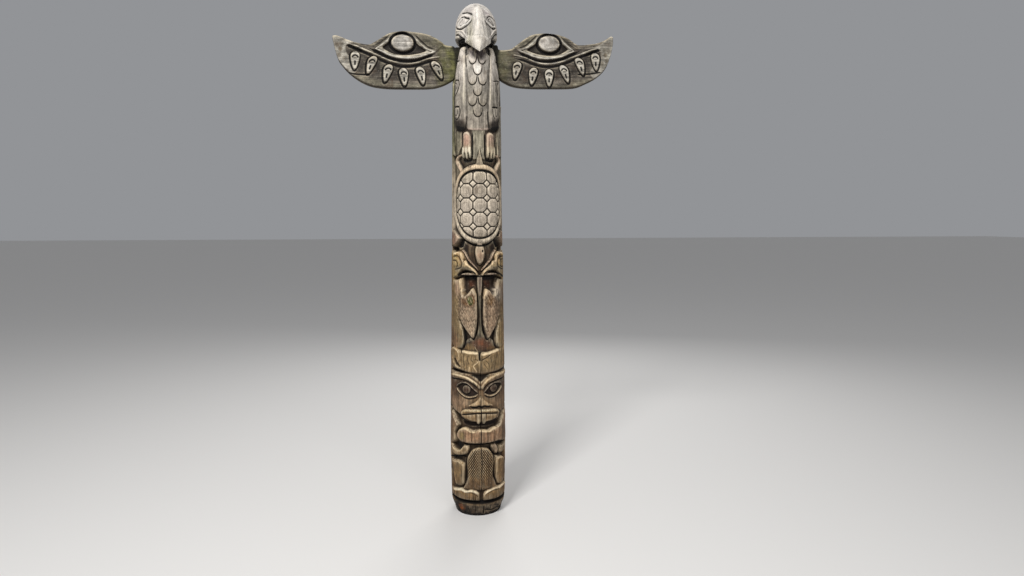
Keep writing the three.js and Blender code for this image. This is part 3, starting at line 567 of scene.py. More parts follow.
def carveBirds():
    # Two birds beak to beak, with folded wings that end in points
    outer = [(46, 1572), (66, 1560), (92, 1570), (94, 1340), (90, 1180), (72, 1118), (58, 1108), (42, 1116),
             (39, 1140), (38, 1184), (41, 1240), (47, 1300), (48, 1400), (45, 1470), (45, 1530)]
    both(form, outer, 1, edge=16, tint="9d8a66")
    wash(log, [(-62, 1560), (-48, 1550), (-46, 1500), (-54, 1450), (-64, 1480)], "b29a87", 0.7, soft=30)
    wash(log, [(84, 1540), (54, 1540), (48, 1480), (54, 1420), (84, 1400)], "a09588", 0.7, soft=50)
    wash(log, [(-96, 1240), (-62, 1220), (-46, 1150), (-58, 1106), (-96, 1110)], "6b4a36", 0.65, soft=60)
    wash(log, [(96, 1400), (76, 1380), (70, 1250), (96, 1200)], "6f604c", 0.5, soft=50)
    innerLeft = [(-6, 1368), (-6, 1440), (-10, 1480), (-16, 1505), (-22, 1500), (-30, 1474), (-38, 1460),
                 (-46, 1478), (-50, 1420), (-50, 1340), (-46, 1288), (-38, 1252), (-28, 1215), (-20, 1186),
                 (-14, 1184), (-9, 1230), (-6, 1300)]
    innerRight = [(6, 1368), (7, 1440), (10, 1476), (15, 1502), (25, 1490), (33, 1462), (44, 1476),
                  (50, 1420), (50, 1340), (45, 1288), (38, 1252), (28, 1214), (21, 1184), (15, 1180),
                  (9, 1232), (6, 1323)]
    form(log, innerLeft, 2, edge=14, dome=3, tint="ab9880")
    form(log, innerRight, 2, edge=14, dome=3, tint="a8927a")
    keel = [(-8, 1572), (0, 1588), (7, 1572), (6, 1500), (4.5, 1380), (5, 1250), (13, 1198), (33, 1172),
            (44, 1098), (-44, 1098), (-34, 1172), (-13, 1198), (-5, 1250), (-4.5, 1380), (-7, 1500)]
    form(log, keel, -19, tint="5c5747")
    form(log, [(-7, 1578), (0, 1590), (6, 1578), (5, 1510), (2, 1460), (-3, 1460), (-6, 1510)], -12,
         edge=10, tint="83766c")
    both(sink, [(9, 1586), (49, 1590), (47, 1530), (40, 1470), (34, 1466), (26, 1492), (16, 1514),
                (9, 1500)], -50, stain=0.1)
    both(wash, [(8, 1590), (50, 1590), (48, 1530), (40, 1478), (26, 1500), (15, 1520), (8, 1500)], "50301f",
         0.9, soft=10)
    both(wash, [(12, 1550), (30, 1550), (30, 1510), (14, 1524)], "6b3720", 0.55, soft=26)
    both(wash, [(36, 1530), (44, 1540), (42, 1478), (36, 1480)], "857c6a", 0.7, soft=16)
    # Painted shade at the top of each recess, under the overhang
    both(wash, [(8, 1592), (52, 1592), (50, 1560), (30, 1556), (10, 1560)], "0d0705", 0.95, soft=26,
         stain=0.8)
    cut(log, [(-9, 1520), (-6, 1440), (-5, 1323), (-8, 1242), (-14, 1183), (-20, 1185), (-30, 1214),
              (-39, 1250), (-46, 1292)], 12, 7)
    cut(log, [(9, 1500), (6, 1413), (5, 1323), (9, 1232), (15, 1178), (21, 1181), (28, 1211), (38, 1250),
              (46, 1296)], 12, 7)
    cut(log, [(-46, 1292), (-40, 1232), (-37, 1178), (-38, 1140), (-43, 1110)], 15, 8)
    cut(log, [(46, 1296), (40, 1232), (36, 1178), (37, 1140), (44, 1112)], 12, 7, stain=0.95)
    ridge(log, [(-44, 1490), (-49, 1430), (-50, 1350), (-46, 1306)], [24, 30, 30, 16], [0, 2, 2, 0],
          tint="a28d74", amount=0.8)
    ridge(log, [(44, 1490), (49, 1430), (50, 1350), (46, 1306)], [24, 30, 30, 16], [0, 2, 2, 0],
          tint="a08f7b", amount=0.8)
    wash(log, [(-40, 1230), (-28, 1200), (-20, 1170), (-30, 1112), (-38, 1150)], "3c342e", 0.85, soft=24)
    wash(log, [(40, 1230), (28, 1200), (20, 1170), (30, 1112), (38, 1150)], "5c4e42", 0.8, soft=24)
    crest(log, [(-51, 1588), (-48, 1540), (-46, 1506), (-40, 1466), (-33, 1467), (-22, 1497), (-15, 1503),
                (-10, 1478), (-7, 1440)], 19, 4, "efd3a8")
    crest(log, [(-25, 1514), (-15, 1522), (-9, 1490), (-7, 1440)], 10, 2, "b6957a", 0.9)
    crest(log, [(38, 1458), (33, 1464), (25, 1487), (16, 1500), (11, 1470), (7, 1430)], 18, 4, "efd3a8")
    crest(log, [(24, 1502), (14, 1516), (8, 1492)], 10, 2, "a98c72", 0.9)
    wash(log, [(36, 1484), (50, 1510), (62, 1470), (52, 1420), (38, 1440)], "bdb4a6", 0.85, soft=26)
    wash(log, [(-42, 1440), (-30, 1456), (-14, 1470), (-9, 1420), (-20, 1392), (-38, 1400)], "7a5228", 0.85,
         soft=24)
    wash(log, [(-27, 1452), (-18, 1452), (-16, 1412), (-22, 1400), (-28, 1420)], "55642b", 0.9, soft=14)
    wash(log, [(12, 1458), (26, 1462), (32, 1420), (22, 1394), (11, 1420)], "6e5028", 0.8, soft=22)
    cut(log, [(-24, 1406), (-21, 1401), (-18, 1406)], 9, 2, stain=0.8)
    cut(log, [(20, 1404), (23, 1392)], 8, 2, stain=0.6)
    both(wash, [(46, 1440), (54, 1420), (54, 1300), (44, 1310)], "7b6a50", 0.4, soft=30)
    chance = np.random.default_rng(31)
    for side in (-1, 1):
        for n, level in enumerate(range(1206, 1456, 22)):
            reachOut = np.interp(level, [1186, 1290], [16, 62])
            for angle in np.arange(9 + 4 * (n % 2), reachOut - 3, 8.0):
                a, z = side * (angle + chance.uniform(-1.5, 1.5)), level + chance.uniform(-6, 6)
                cut(log, [(a - 3, z + 16), (a, z), (a + 3, z + 15)], 7.5, 1.6, stain=chance.uniform(0.1, 0.5))
                if chance.uniform() < 0.4:
                    crest(log, [(a - 2, z + 30), (a + 1, z + 8)], 11, 0.6, "cdb99b", 0.7)
    wash(log, [(-12, 1184), (10, 1184), (24, 1160), (32, 1124), (28, 1102), (-20, 1102), (-20, 1150)],
         "6f4834", 0.75, soft=44)
    wash(log, [(-4, 1164), (6, 1168), (10, 1146), (0, 1136)], "8c5030", 0.5, soft=18)
    wash(log, [(14, 1150), (30, 1146), (32, 1112), (14, 1118)], "4a3226", 0.7, soft=18)
    wash(log, [(-10, 1130), (-2, 1134), (0, 1112), (-12, 1110)], "553829", 0.6, soft=14)
    wash(log, [(-38, 1128), (-18, 1132), (-14, 1102), (-40, 1102)], "b0905f", 0.8, soft=16)
    wash(log, [(20, 1122), (40, 1126), (40, 1102), (18, 1102)], "94754c", 0.7, soft=14)

    head = [(92, 1560), (60, 1572), (50, 1590), (44, 1630), (40, 1680), (43, 1722), (50, 1738), (70, 1738),
            (92, 1724)]
    both(form, head, 2, edge=18, tint="a4925f")
    beakPath = [(88, 1640), (60, 1640), (44, 1652), (28, 1640), (14, 1612), (6, 1590)]
    both(ridge, beakPath, [120, 110, 92, 64, 40, 16], [2, 3, 4, 5, 3, -2], tint="9e9070", amount=0.6)
    both(wash, [(60, 1640), (40, 1648), (22, 1634), (20, 1622), (40, 1626), (60, 1606)], "8b8676", 0.7)
    crest(log, [(-76, 1712), (-62, 1730), (-50, 1734), (-40, 1702), (-31, 1666), (-17, 1637), (-7, 1600),
                (-4, 1588)], 26, 5, "f2d5a6")
    crest(log, [(76, 1716), (60, 1730), (46, 1726), (36, 1694), (30, 1668), (19, 1648), (11, 1620),
                (5, 1590)], 24, 5, "eed0a2")
    both(wash, [(56, 1742), (46, 1730), (38, 1690), (46, 1660), (56, 1690)], "caa97c", 0.6, soft=24)
    both(ridge, [(43, 1746), (36, 1728), (27, 1688), (16, 1657), (4, 1622)], [12, 13, 12, 12, 8],
         [-8, -6, -6, -7, -12], tint="98796a", amount=0.9)
    both(cut, [(42, 1726), (34, 1690), (25, 1660), (13, 1634), (4, 1608)], 9, 6)
    cut(log, [(-58, 1578), (-48, 1606), (-36, 1617), (-24, 1618), (-13, 1608), (-8, 1590)], 13, 9)
    cut(log, [(7, 1590), (13, 1609), (22, 1617), (34, 1616), (46, 1606), (56, 1593), (84, 1566)], 13, 9)
    both(sink, [(50, 1588), (46, 1602), (30, 1608), (14, 1602), (9, 1590), (28, 1584)], -14, edge=4,
         stain=0.9)
    both(form, [(47, 1590), (44, 1601), (27, 1606), (12, 1600), (10, 1591), (28, 1588)], -3, edge=6,
         tint="a3958a")
    cut(log, [(-52, 1584), (-28, 1582), (-9, 1586), (0, 1582), (9, 1586), (30, 1582), (52, 1584)], 15, 11)
    for side, arcs in ((-1, ([(-74, 1704), (-56, 1712), (-46, 1690), (-42, 1660), (-47, 1636), (-66, 1624)],
                             [(-76, 1680), (-61, 1681), (-54, 1656), (-60, 1636)])),
                       (1, ([(76, 1706), (52, 1704), (43, 1674), (48, 1642), (64, 1626), (84, 1624)],
                            [(86, 1694), (60, 1688), (52, 1664), (58, 1644), (74, 1638)]))):
        for arc in arcs:
            cut(log, arc, 11, 4, stain=0.72)
        crest(log, [(side * 74, 1693), (side * 58, 1695), (side * 49, 1672), (side * 53, 1646)], 12, 3,
              "c6b27c", 0.9)
        crest(log, [(side * 70, 1664), (side * 64, 1658), (side * 66, 1648)], 12, 3, "b5a16c", 0.8)
    wash(log, [(46, 1718), (60, 1714), (56, 1688), (46, 1690)], "5c3d1e", 0.8, soft=14, stain=0.25)
    cut(log, [(-31, 1652), (-31, 1636)], 7, 2, stain=0.7)


def carveTurtle():
    # The shell's rim and eight-sided scutes, the head hanging below, the legs and the tail
    middle, halfAngle, halfHeight = 2038.0, 75.0, 253.0
    corners = [(-halfAngle, middle - halfHeight), (halfAngle, middle + halfHeight)]
    rows, cols = windowOn(log, pathOn(log, corners), 30)
    angle = np.broadcast_to(log["u"][cols][None, :], log["across"][rows, cols].shape)
    v = log["upward"][rows, cols]
    power = np.interp(v, [1900, 2150], [2.0, 2.35])
    # The rim is wider at the flanks than at head and tail
    narrowed = np.minimum(np.abs(angle), 63 + (np.abs(angle) - 63) * 0.58)
    out = ((narrowed / halfAngle) ** power + np.abs((v - middle) / halfHeight) ** power) ** (1 / power)
    rimPlaces = [0, .70, .80, .825, .838, .852, .87, .92, .97, 1.0]
    rim = np.interp(out, rimPlaces, [6, 2, -3, -12, -14, -12, -2, 1, -4, -18])
    here = log["lift"][rows, cols]
    held = out < 1
    log["lift"][rows, cols] = np.where(held, np.maximum(rim, here), here)
    # Painted shade round the outside of the shell's rim
    aroundRim = 0.75 * np.exp(-((out - 1.015) / 0.018) ** 2) * (out > 1.0)
    darken(log, rows, cols, aroundRim)
    # Painted shade in the groove along the rim
    thick = np.interp(v, [1800, 2000, 2100, 2230], [0.026, 0.020, 0.022, 0.040])
    strength = np.interp(v, [1830, 2000, 2120], [1, .8, 1])
    band = held * np.clip(2.2 - 2.2 * np.abs(out - 0.842) / thick, 0, 1) * strength
    log["stain"][rows, cols] = np.where(held, band, log["stain"][rows, cols])
    blend(log, rows, cols, held * np.clip((1 - out) / 0.03, 0, 1) * 0.95, "bdb29b")
    blend(log, rows, cols, held * np.clip((out - 0.84) / 0.03, 0, 1) * np.interp(v, [2080, 2230], [0, 0.9]),
          "dcc5a0")
    paler = np.interp(v, [1880, 1990, 2090, 2200], [0.3, 0.8, 0.6, 0.1])
    blend(log, rows, cols, held * (out < 0.83) * paler, "cbc1ae")
    blend(log, rows, cols, held * (out < 0.83) * np.interp(np.abs(angle), [38, 60], [0, 0.6]), "9c9078")

    # Scutes: eight-sided on a square lattice, with a small diamond where four of them meet
    rowPitch, columnPitch, latticeMiddle = 89.4, 32.0, 2033.5
    corner, rootTwo = 25.0, 1.414
    scale = log["scale"][rows][:, None]
    columns, lines = (angle - 1) / columnPitch, (v - latticeMiddle) / rowPitch
    du = np.abs(columns - np.round(columns)) * columnPitch * scale
    dv = np.abs(lines - np.round(lines)) * rowPitch
    halfU, halfV = columnPitch * scale / 2, rowPitch / 2
    toDiamond = (halfU - du) + (halfV - dv) - corner
    border = np.minimum(np.minimum(halfU - du, halfV - dv), np.abs(toDiamond) / rootTwo)
    border = np.where(toDiamond < 0, -toDiamond / rootTwo, border)
    plates = out < 0.82
    line = np.clip(1.8 - 1.8 * border / 4.8, 0, 1) * plates * np.clip((0.82 - out) / 0.01, 0, 1)
    rings = 0.5 + 0.5 * np.cos(border * 2 * math.pi / 13.0)
    pillow = 4.0 * (1 - np.exp(-np.clip(border - 3, 0, None) / 7))
    log["lift"][rows, cols] += plates * (-5 * line - 1.0 * rings * (border < 30) + pillow - 2)
    # Painted shade in the grooves between the scutes
    darken(log, rows, cols, 0.78 * line)
    blend(log, rows, cols, plates * (toDiamond < -3) * 0.8, "d8ceb6")
    blend(log, rows, cols, plates * rings * (border > 10) * 0.30, "8f8672")
    blend(log, rows, cols, plates * np.exp(-((border - 9) / 4) ** 2) * 0.5, "dfd6c2")

    both(ridge, [(45, 2238), (54, 2276), (63, 2312), (58, 2334), (48, 2346)], [30, 32, 30, 26, 14],
         [-8, -3, 0, -2, -8], tint="bda58a", amount=0.95)
    both(crest, [(50, 2250), (58, 2284), (66, 2316)], 12, 1, "d8c4aa", 0.8)
    both(cut, [(40, 2262), (47, 2288), (55, 2312), (51, 2330)], 11, 5, stain=0.85)
    both(wash, [(44, 2316), (52, 2312), (50, 2290), (42, 2280)], "5b3f31", 0.7, soft=12)
    both(cut, [(53, 2238), (63, 2276), (71, 2306)], 10, 5, stain=0.8)
    wash(log, [(-44, 2296), (-20, 2300), (-14, 2284), (-30, 2264), (-44, 2248)], "54432f", 0.8, soft=16,
         stain=0.25)
    wash(log, [(44, 2300), (20, 2304), (15, 2286), (30, 2268), (42, 2252)], "54432f", 0.8, soft=16,
         stain=0.25)
    flipperLeft = [(-63, 1856), (-50, 1824), (-58, 1798), (-70, 1771), (-77, 1773), (-98, 1804),
                   (-98, 1850), (-80, 1880)]
    flipperRight = [(55, 1856), (50, 1834), (62, 1806), (82, 1774), (98, 1774), (98, 1850), (70, 1880)]
    form(log, flipperLeft, 0, edge=7, tint="947862", smooth=False)
    form(log, flipperRight, 0, edge=7, tint="8d745e", smooth=False)
    crest(log, [(-64, 1852), (-54, 1826), (-60, 1800), (-70, 1778)], 12, 2, "c3a68e", 0.8)
    crest(log, [(58, 1850), (54, 1834), (64, 1808), (80, 1780)], 12, 2, "ad9079", 0.8)
    for line in ([(-84, 1866), (-82, 1830), (-76, 1790)], [(-72, 1862), (-66, 1836), (-68, 1806)],
                 [(76, 1866), (76, 1836), (84, 1800)], [(66, 1862), (64, 1840)]):
        cut(log, line, 8, 2, stain=0.5)
    # Painted shadow beside the flippers' inner edges and under them
    sink(log, [(-47, 1832), (-70, 1769), (-60, 1758), (-46, 1768), (-40, 1812)], -44, edge=4, stain=1.0,
         smooth=False)
    sink(log, [(46, 1834), (62, 1804), (84, 1770), (70, 1758), (52, 1768), (40, 1812)], -44, edge=4,
         stain=1.0, smooth=False)
    both(sink, [(62, 1766), (100, 1772), (100, 1744), (72, 1741), (60, 1748)], -44, stain=0.8, smooth=False)
    turtleTail = [(1, 2386), (5, 2340), (12, 2282), (-10, 2282), (-4, 2340)]
    form(log, turtleTail, -8, edge=10, tint="9d937c", smooth=False)
    cut(log, [(2, 2392), (6, 2340), (14, 2284)], 6, 5, stain=0.8)
    cut(log, [(-1, 2380), (-6, 2330), (-12, 2284)], 5, 4, stain=0.5)
    head = [(0, 1800), (8, 1782), (12, 1744), (11, 1700), (6, 1668), (0, 1656), (-6, 1668), (-10, 1700),
            (-12, 1744), (-8, 1782)]
    form(log, head, 2, edge=16, dome=2, tint="c0b09a")
    wash(log, [(-6, 1730), (4, 1736), (8, 1710), (2, 1690), (-6, 1700)], "b0917c", 0.5, soft=14)
    sink(log, [(4.5, 1752), (7.5, 1752), (7.5, 1738), (4.5, 1738)], -8, edge=2, stain=1.0)
    cut(log, [(10, 1780), (14, 1744), (13, 1700), (8, 1664), (0, 1650), (-8, 1664), (-12, 1700),
              (-13, 1744), (-10, 1780)], 7, 5, stain=0.85)
    cut(log, [(-66, 1888), (-54, 1850), (-40, 1812), (-21, 1788), (0, 1778), (24, 1788), (40, 1812),
              (54, 1850), (66, 1888)], 15, 9)
    both(wash, [(40, 1800), (16, 1780), (14, 1700), (3, 1640), (6, 1618), (24, 1670), (40, 1730)], "503f33",
         0.7, soft=24)
    both(wash, [(50, 1790), (34, 1784), (34, 1740), (46, 1744)], "1f1613", 0.8, stain=0.4)
    both(cut, [(20, 1776), (22, 1730), (18, 1680)], 8, 2, stain=0.3)
    both(cut, [(30, 1780), (32, 1740), (29, 1700)], 9, 2, stain=0.35)


def carveEagle():
    # The bird's breast of scale feathers, folded wings, legs, tail and toes. It faces a little to the
    # viewer's left.
    wingLeft = [(-31, 2540), (-30, 2600), (-31, 2700), (-32, 2830), (-35, 2912), (-39, 2957), (-45, 3003),
                (-49, 3019), (-61, 3019), (-67, 2990), (-71, 2945), (-74, 2850), (-74, 2760), (-74, 2590),
                (-66, 2516), (-50, 2496), (-36, 2506)]
    wingRight = [(23, 2540), (22, 2600), (24, 2700), (26, 2830), (31, 2912), (35, 2957), (41, 3003),
                 (46, 3019), (55, 3019), (62, 2985), (67, 2930), (71, 2850), (74, 2760), (66, 2590),
                 (56, 2514), (42, 2496), (28, 2504)]
    for wing in (wingLeft, wingRight):
        form(log, wing, -1, edge=34, dome=3, tint="b3ac9d")
    form(log, [(-75, 2800), (-96, 2810), (-96, 2360), (-71, 2344), (-70, 2420), (-73, 2700)], 0, edge=8,
         tint="96947a", smooth=False)
    form(log, [(66, 2660), (98, 2680), (98, 2352), (52, 2332), (52, 2420), (54, 2560), (64, 2620)], 0,
         edge=8, tint="9c9784", smooth=False)
    form(log, [(-46, 2502), (-70, 2502), (-70, 2352), (-62, 2344), (-47, 2400)], -12, edge=6, tint="8f8b74",
         smooth=False)
    form(log, [(43, 2500), (51, 2500), (51, 2340), (43, 2350)], -12, edge=6, tint="8f8a74", smooth=False)
    form(log, [(-19, 2530), (17, 2530), (15, 2400), (17, 2318), (-18, 2318), (-18, 2400)], -13, edge=10,
         tint="9b9883", smooth=False)
    belly = [(-38, 2960), (-34, 2800), (-34, 2560), (-33, 2516), (-24, 2498), (-12, 2500), (0, 2498),
             (12, 2500), (22, 2498), (28, 2530), (28, 2700), (36, 2960)]
    form(log, belly, -9, tint="a49e8f")
    rowDrop = 128.0
    for line, name in ((2, "b4ac9b"), (1, "bab1a0"), (0, "cfc6b6")):
        for angle, tip in ((-3, 2836), (-16, 2903), (9.5, 2903)):
            feather(angle, tip - line * rowDrop, name)
    wash(log, [(-12, 2900), (6, 2900), (5, 2850), (-3, 2838), (-11, 2850)], "e6dccb", 0.9, soft=16)
    cut(log, [(-45, 3008), (-39, 2960), (-35, 2914), (-33, 2880)], 10, 6, stain=0.95)
    cut(log, [(42, 3008), (36, 2960), (32, 2914), (30, 2880)], 10, 6, stain=0.95)
    cut(log, [(-32, 2890), (-30, 2800), (-29, 2680), (-29, 2600)], 26, 1.0, stain=0.22)
    cut(log, [(28, 2890), (24.5, 2800), (22.5, 2700), (21.5, 2620)], 26, 1.0, stain=0.28)
    crest(log, [(-34, 2512), (-24, 2506), (-10, 2504), (8, 2504), (22, 2508), (30, 2514)], 22, 1, "c9b7a8",
          0.8)
    wash(log, [(-46, 2500), (-22, 2502), (-18, 2440), (-22, 2400), (-46, 2400)], "9a8676", 0.6)
    wash(log, [(46, 2500), (20, 2502), (16, 2440), (20, 2400), (46, 2400)], "9a8676", 0.6)
    cut(log, [(-30, 2590), (-31, 2550), (-35, 2508)], 12, 3, stain=0.5)
    cut(log, [(22, 2620), (23, 2560), (27, 2506)], 12, 4, stain=0.75)
    crest(log, [(-42, 2990), (-39, 2900), (-37, 2800), (-37, 2640)], 24, 1.5, "d6cdb6", 0.75)
    crest(log, [(38, 2990), (34, 2900), (30, 2800), (29, 2660)], 20, 1.5, "d2c8b2", 0.7)
    crest(log, [(68, 2900), (72, 2800), (78, 2700), (80, 2640)], 15, 3, "c9beab", 0.8)
    for line in ([(-55, 2960), (-53, 2800), (-54, 2660)], [(-47, 2900), (-46, 2740), (-45, 2600)],
                 [(40, 2900), (38, 2760), (37, 2600)], [(48, 2980), (50, 2860), (48, 2700)],
                 [(33, 2780), (31, 2680), (30, 2580)], [(-22, 2820), (-23, 2700), (-22, 2600)],
                 [(16, 2840), (16, 2720), (15, 2600)], [(-9, 2620), (-8, 2540), (-10, 2510)]):
        cut(log, line, 9, 0.8, stain=0.22)
    cut(log, [(-54, 2931), (-60, 2929), (-68, 2931)], 11, 5)
    cut(log, [(52, 2930), (57, 2928), (64, 2930)], 13, 6)
    cut(log, [(-82, 2803), (-69, 2812), (-57, 2811), (-52, 2806), (-51, 2785), (-53, 2762), (-60, 2732),
              (-70, 2712)], 11, 4)
    cut(log, [(-74, 2798), (-63, 2794), (-59, 2780), (-63, 2758), (-71, 2745)], 8, 3, stain=0.7)
    cut(log, [(38, 2803), (52, 2810), (72, 2812)], 9, 4, stain=0.9)
    cut(log, [(60, 2806), (52, 2785), (51, 2750), (56, 2716)], 9, 3, stain=0.85)
    cut(log, [(48, 2798), (44, 2770), (46, 2736)], 7, 2, stain=0.5)
    cut(log, [(-70, 2648), (-60, 2649), (-49, 2645)], 13, 6)
    cut(log, [(-50, 2644), (-47, 2610), (-52, 2582), (-60, 2570), (-67, 2590)], 10, 4, stain=0.95)
    cut(log, [(-56, 2634), (-57, 2606), (-63, 2594), (-68, 2610)], 9, 3, stain=0.8)
    cut(log, [(33, 2641), (42, 2644), (54, 2646)], 14, 6)
    cut(log, [(35, 2640), (35, 2612), (38, 2586), (44, 2570)], 9, 4, stain=0.85)
    cut(log, [(45, 2636), (44, 2610), (48, 2590), (52, 2600)], 8, 3, stain=0.7)
    # Painted shade in the pockets under the ends of the folded wings
    wash(log, [(-72, 2572), (-56, 2572), (-40, 2560), (-30, 2530), (-34, 2506), (-50, 2494), (-68, 2512)],
         "2a1d15", 0.9, soft=40, stain=0.6)
    wash(log, [(60, 2572), (44, 2570), (32, 2556), (23, 2530), (27, 2506), (42, 2494), (56, 2512)],
         "2a1d15", 0.9, soft=40, stain=0.6)
    wash(log, [(-70, 2534), (-50, 2530), (-36, 2520), (-36, 2504), (-50, 2492), (-66, 2508)], "0d0806", 1.0,
         soft=18, stain=1.0)
    wash(log, [(58, 2532), (44, 2530), (30, 2518), (30, 2502), (42, 2492), (54, 2506)], "0d0806", 1.0,
         soft=18, stain=1.0)
    cut(log, [(-75, 2860), (-74.5, 2700), (-73, 2520), (-71, 2350)], 9, 4, stain=0.8)
    cut(log, [(75, 2700), (66, 2600), (53, 2540), (51, 2420), (51, 2335)], 9, 4, stain=0.75)
    both(cut, [(46, 2492), (45, 2420), (46, 2345)], 10, 5, stain=0.85)
    legLeft = [(-20, 2372), (-20, 2440), (-22, 2472), (-29, 2492), (-37, 2488), (-41, 2474), (-42, 2420),
               (-42, 2368), (-32, 2356)]
    legRight = [(18, 2372), (18, 2440), (19, 2470), (25, 2487), (33, 2485), (39, 2470), (41, 2420),
                (41, 2368), (31, 2356)]
    for leg in (legLeft, legRight):
        form(log, leg, -1, edge=14, dome=3, tint="b9a18b")
    crest(log, [(-36, 2476), (-29, 2483), (-24, 2470)], 18, 2, "decbb4", 0.9)
    crest(log, [(22, 2472), (27, 2478), (35, 2468)], 18, 2, "d2bd9f", 0.9)
    wash(log, [(-38, 2460), (-24, 2460), (-24, 2410), (-38, 2410)], "c29a84", 0.5)
    both(wash, [(22, 2404), (40, 2404), (40, 2380), (22, 2380)], "8c7c58", 0.5, soft=18)
    for middle, tint in ((-31.5, "e4dcc2"), (30, "cdc2a4")):
        for step, low in ((-8.5, 2326), (0.5, 2322), (9, 2326)):
            angle = middle + step
            ridge(log, [(middle + step * 0.9, 2388), (angle, 2356), (angle, low + 8)], [22, 22, 17],
                  [0, 3, -1], tint=tint, amount=1.0)
        for step in (-4, 5):
            cut(log, [(middle + step, 2350), (middle + step * 1.05, 2316)], 10, 12)
    for side, inner in ((-1, 18.5), (1, 16)):
        line = [(inner - 1, 2486), (inner - 1.5, 2440), (inner - 1, 2390), (inner - 1, 2340), (20, 2316),
                (31, 2310), (41, 2316), (45, 2332)]
        cut(log, [(side * a, z) for a, z in line], 15, 9)
    # Painted shade under the toes
    wash(log, [(-43, 2322), (-30, 2316), (-19, 2322), (-21, 2300), (-32, 2296), (-42, 2302)], "120c09", 0.9,
         soft=16, stain=0.85)
    wash(log, [(41, 2324), (30, 2318), (17, 2326), (18, 2306), (30, 2300), (42, 2306)], "120c09", 0.9,
         soft=16, stain=0.7)
    for low, high, angle in ((2330, 2490, -9), (2330, 2480, 7), (2400, 2500, -3), (2340, 2470, 12),
                             (2340, 2440, -14)):
        cut(log, [(angle, low), (angle + 1, (low + high) / 2), (angle, high)], 7, 1.5, stain=0.35)
    # Shade of the head and beak on the neck and breast
    both(sink, [(33, 3042), (118, 3042), (118, 3004), (64, 3000), (58, 3021), (47, 3021), (41, 3006),
                (36, 2984)], -42, edge=6, stain=1.0, smooth=False)
    wash(log, [(-40, 3042), (40, 3042), (36, 2998), (20, 2960), (2, 2924), (-16, 2950), (-34, 2990)],
         "33282a", 0.95, soft=34, stain=0.3)
    wash(log, [(-100, 2900), (-75, 2900), (-73, 2700), (-73, 2500), (-72, 2370), (-100, 2380)], "83854f",
         0.6, soft=16)


def feather(angle, tip, tint):
    # One scale of the breast: its lift is highest at the tip and falls with the share of its length
    half, length = 11.5, 100.0
    outline = [(angle, tip), (angle + half * .55, tip + 9), (angle + half * .9, tip + 28),
               (angle + half, tip + 52), (angle + half, tip + length), (angle - half, tip + length),
               (angle - half, tip + 52), (angle - half * .9, tip + 28), (angle - half * .55, tip + 9)]
    rows, cols, gap, held = area(log, outline)
    up = np.clip((log["upward"][rows, cols] - tip) / length, 0, 1)
    top = -9 + 7 * (1 - up) * np.clip(gap / 5, 0, 1)
    here = log["lift"][rows, cols]
    log["lift"][rows, cols] = np.where(held & (top > here), top, here)
    blend(log, rows, cols, held * np.clip(gap / 8, 0, 1) * (1 - up) ** 0.6 * 0.95, tint)
    # The outline runs further up on the side towards the middle row
    side = np.sign(angle + 3) if abs(angle + 3) > 2 else 0
    outer, inner = (20, 52) if side else (46, 46)
    left, right = (inner, outer) if side > 0 else (outer, inner)
    line = [(angle - half * .98, tip + left), (angle - half * .82, tip + 20), (angle - half * .5, tip + 6),
            (angle, tip), (angle + half * .5, tip + 6), (angle + half * .82, tip + 20),
            (angle + half * .98, tip + right)]
    cut(log, line, 7.5, 4)


beak = {
    "low": 2963.0,
    "halfWidth": 82.0,
    "edgeReach": 104.0,
    "tipReach": 206.0,
    "crestLevels": [2963, 2976, 3014, 3040, 3092, 3160, 3222, 3264, 3290],
    "crestReaches": [206, 209, 209, 204, 194, 172, 138, 92, 0],
    "acrossFront": 61,
    "acrossBack": 15,
    "toneLevel": 3094.0,
    "toneGain": 1.2,
}


def beakProfile(level):
    # At a level: the reach of the crest, the angle and reach of the side edges, and the swell between
    crestReach = np.interp(level, beak["crestLevels"], beak["crestReaches"])
    share = np.clip((level - beak["low"]) / (headFoot - beak["low"]), 0, 1)
    width = beak["halfWidth"] * share
    depth = beak["tipReach"] + (beak["edgeReach"] - beak["tipReach"]) * share
    below = np.degrees(np.arctan2(width, depth))
    above = np.interp(level, [3040, 3095, 3160, 3220, 3280], [38, 36, 33, 33, 33])
    edgeAngle = np.where(level < headFoot, below, above)
    edgeReach = np.where(level < headFoot, np.hypot(width, depth), headRadius)
    ease = np.clip((level - 3060) / 110, 0, 1)

    def swell(t):
        # From 1 at the crest to 0 at the edge: a blunt wedge below, easing into half a wave above
        wave = 0.8 * (0.5 + 0.5 * np.cos(math.pi * t)) + 0.2 * (1 - t)
        return (1 - ease) * (1 - t ** 1.4) + ease * wave

    return crestReach, np.maximum(edgeAngle, 0.05), edgeReach, swell


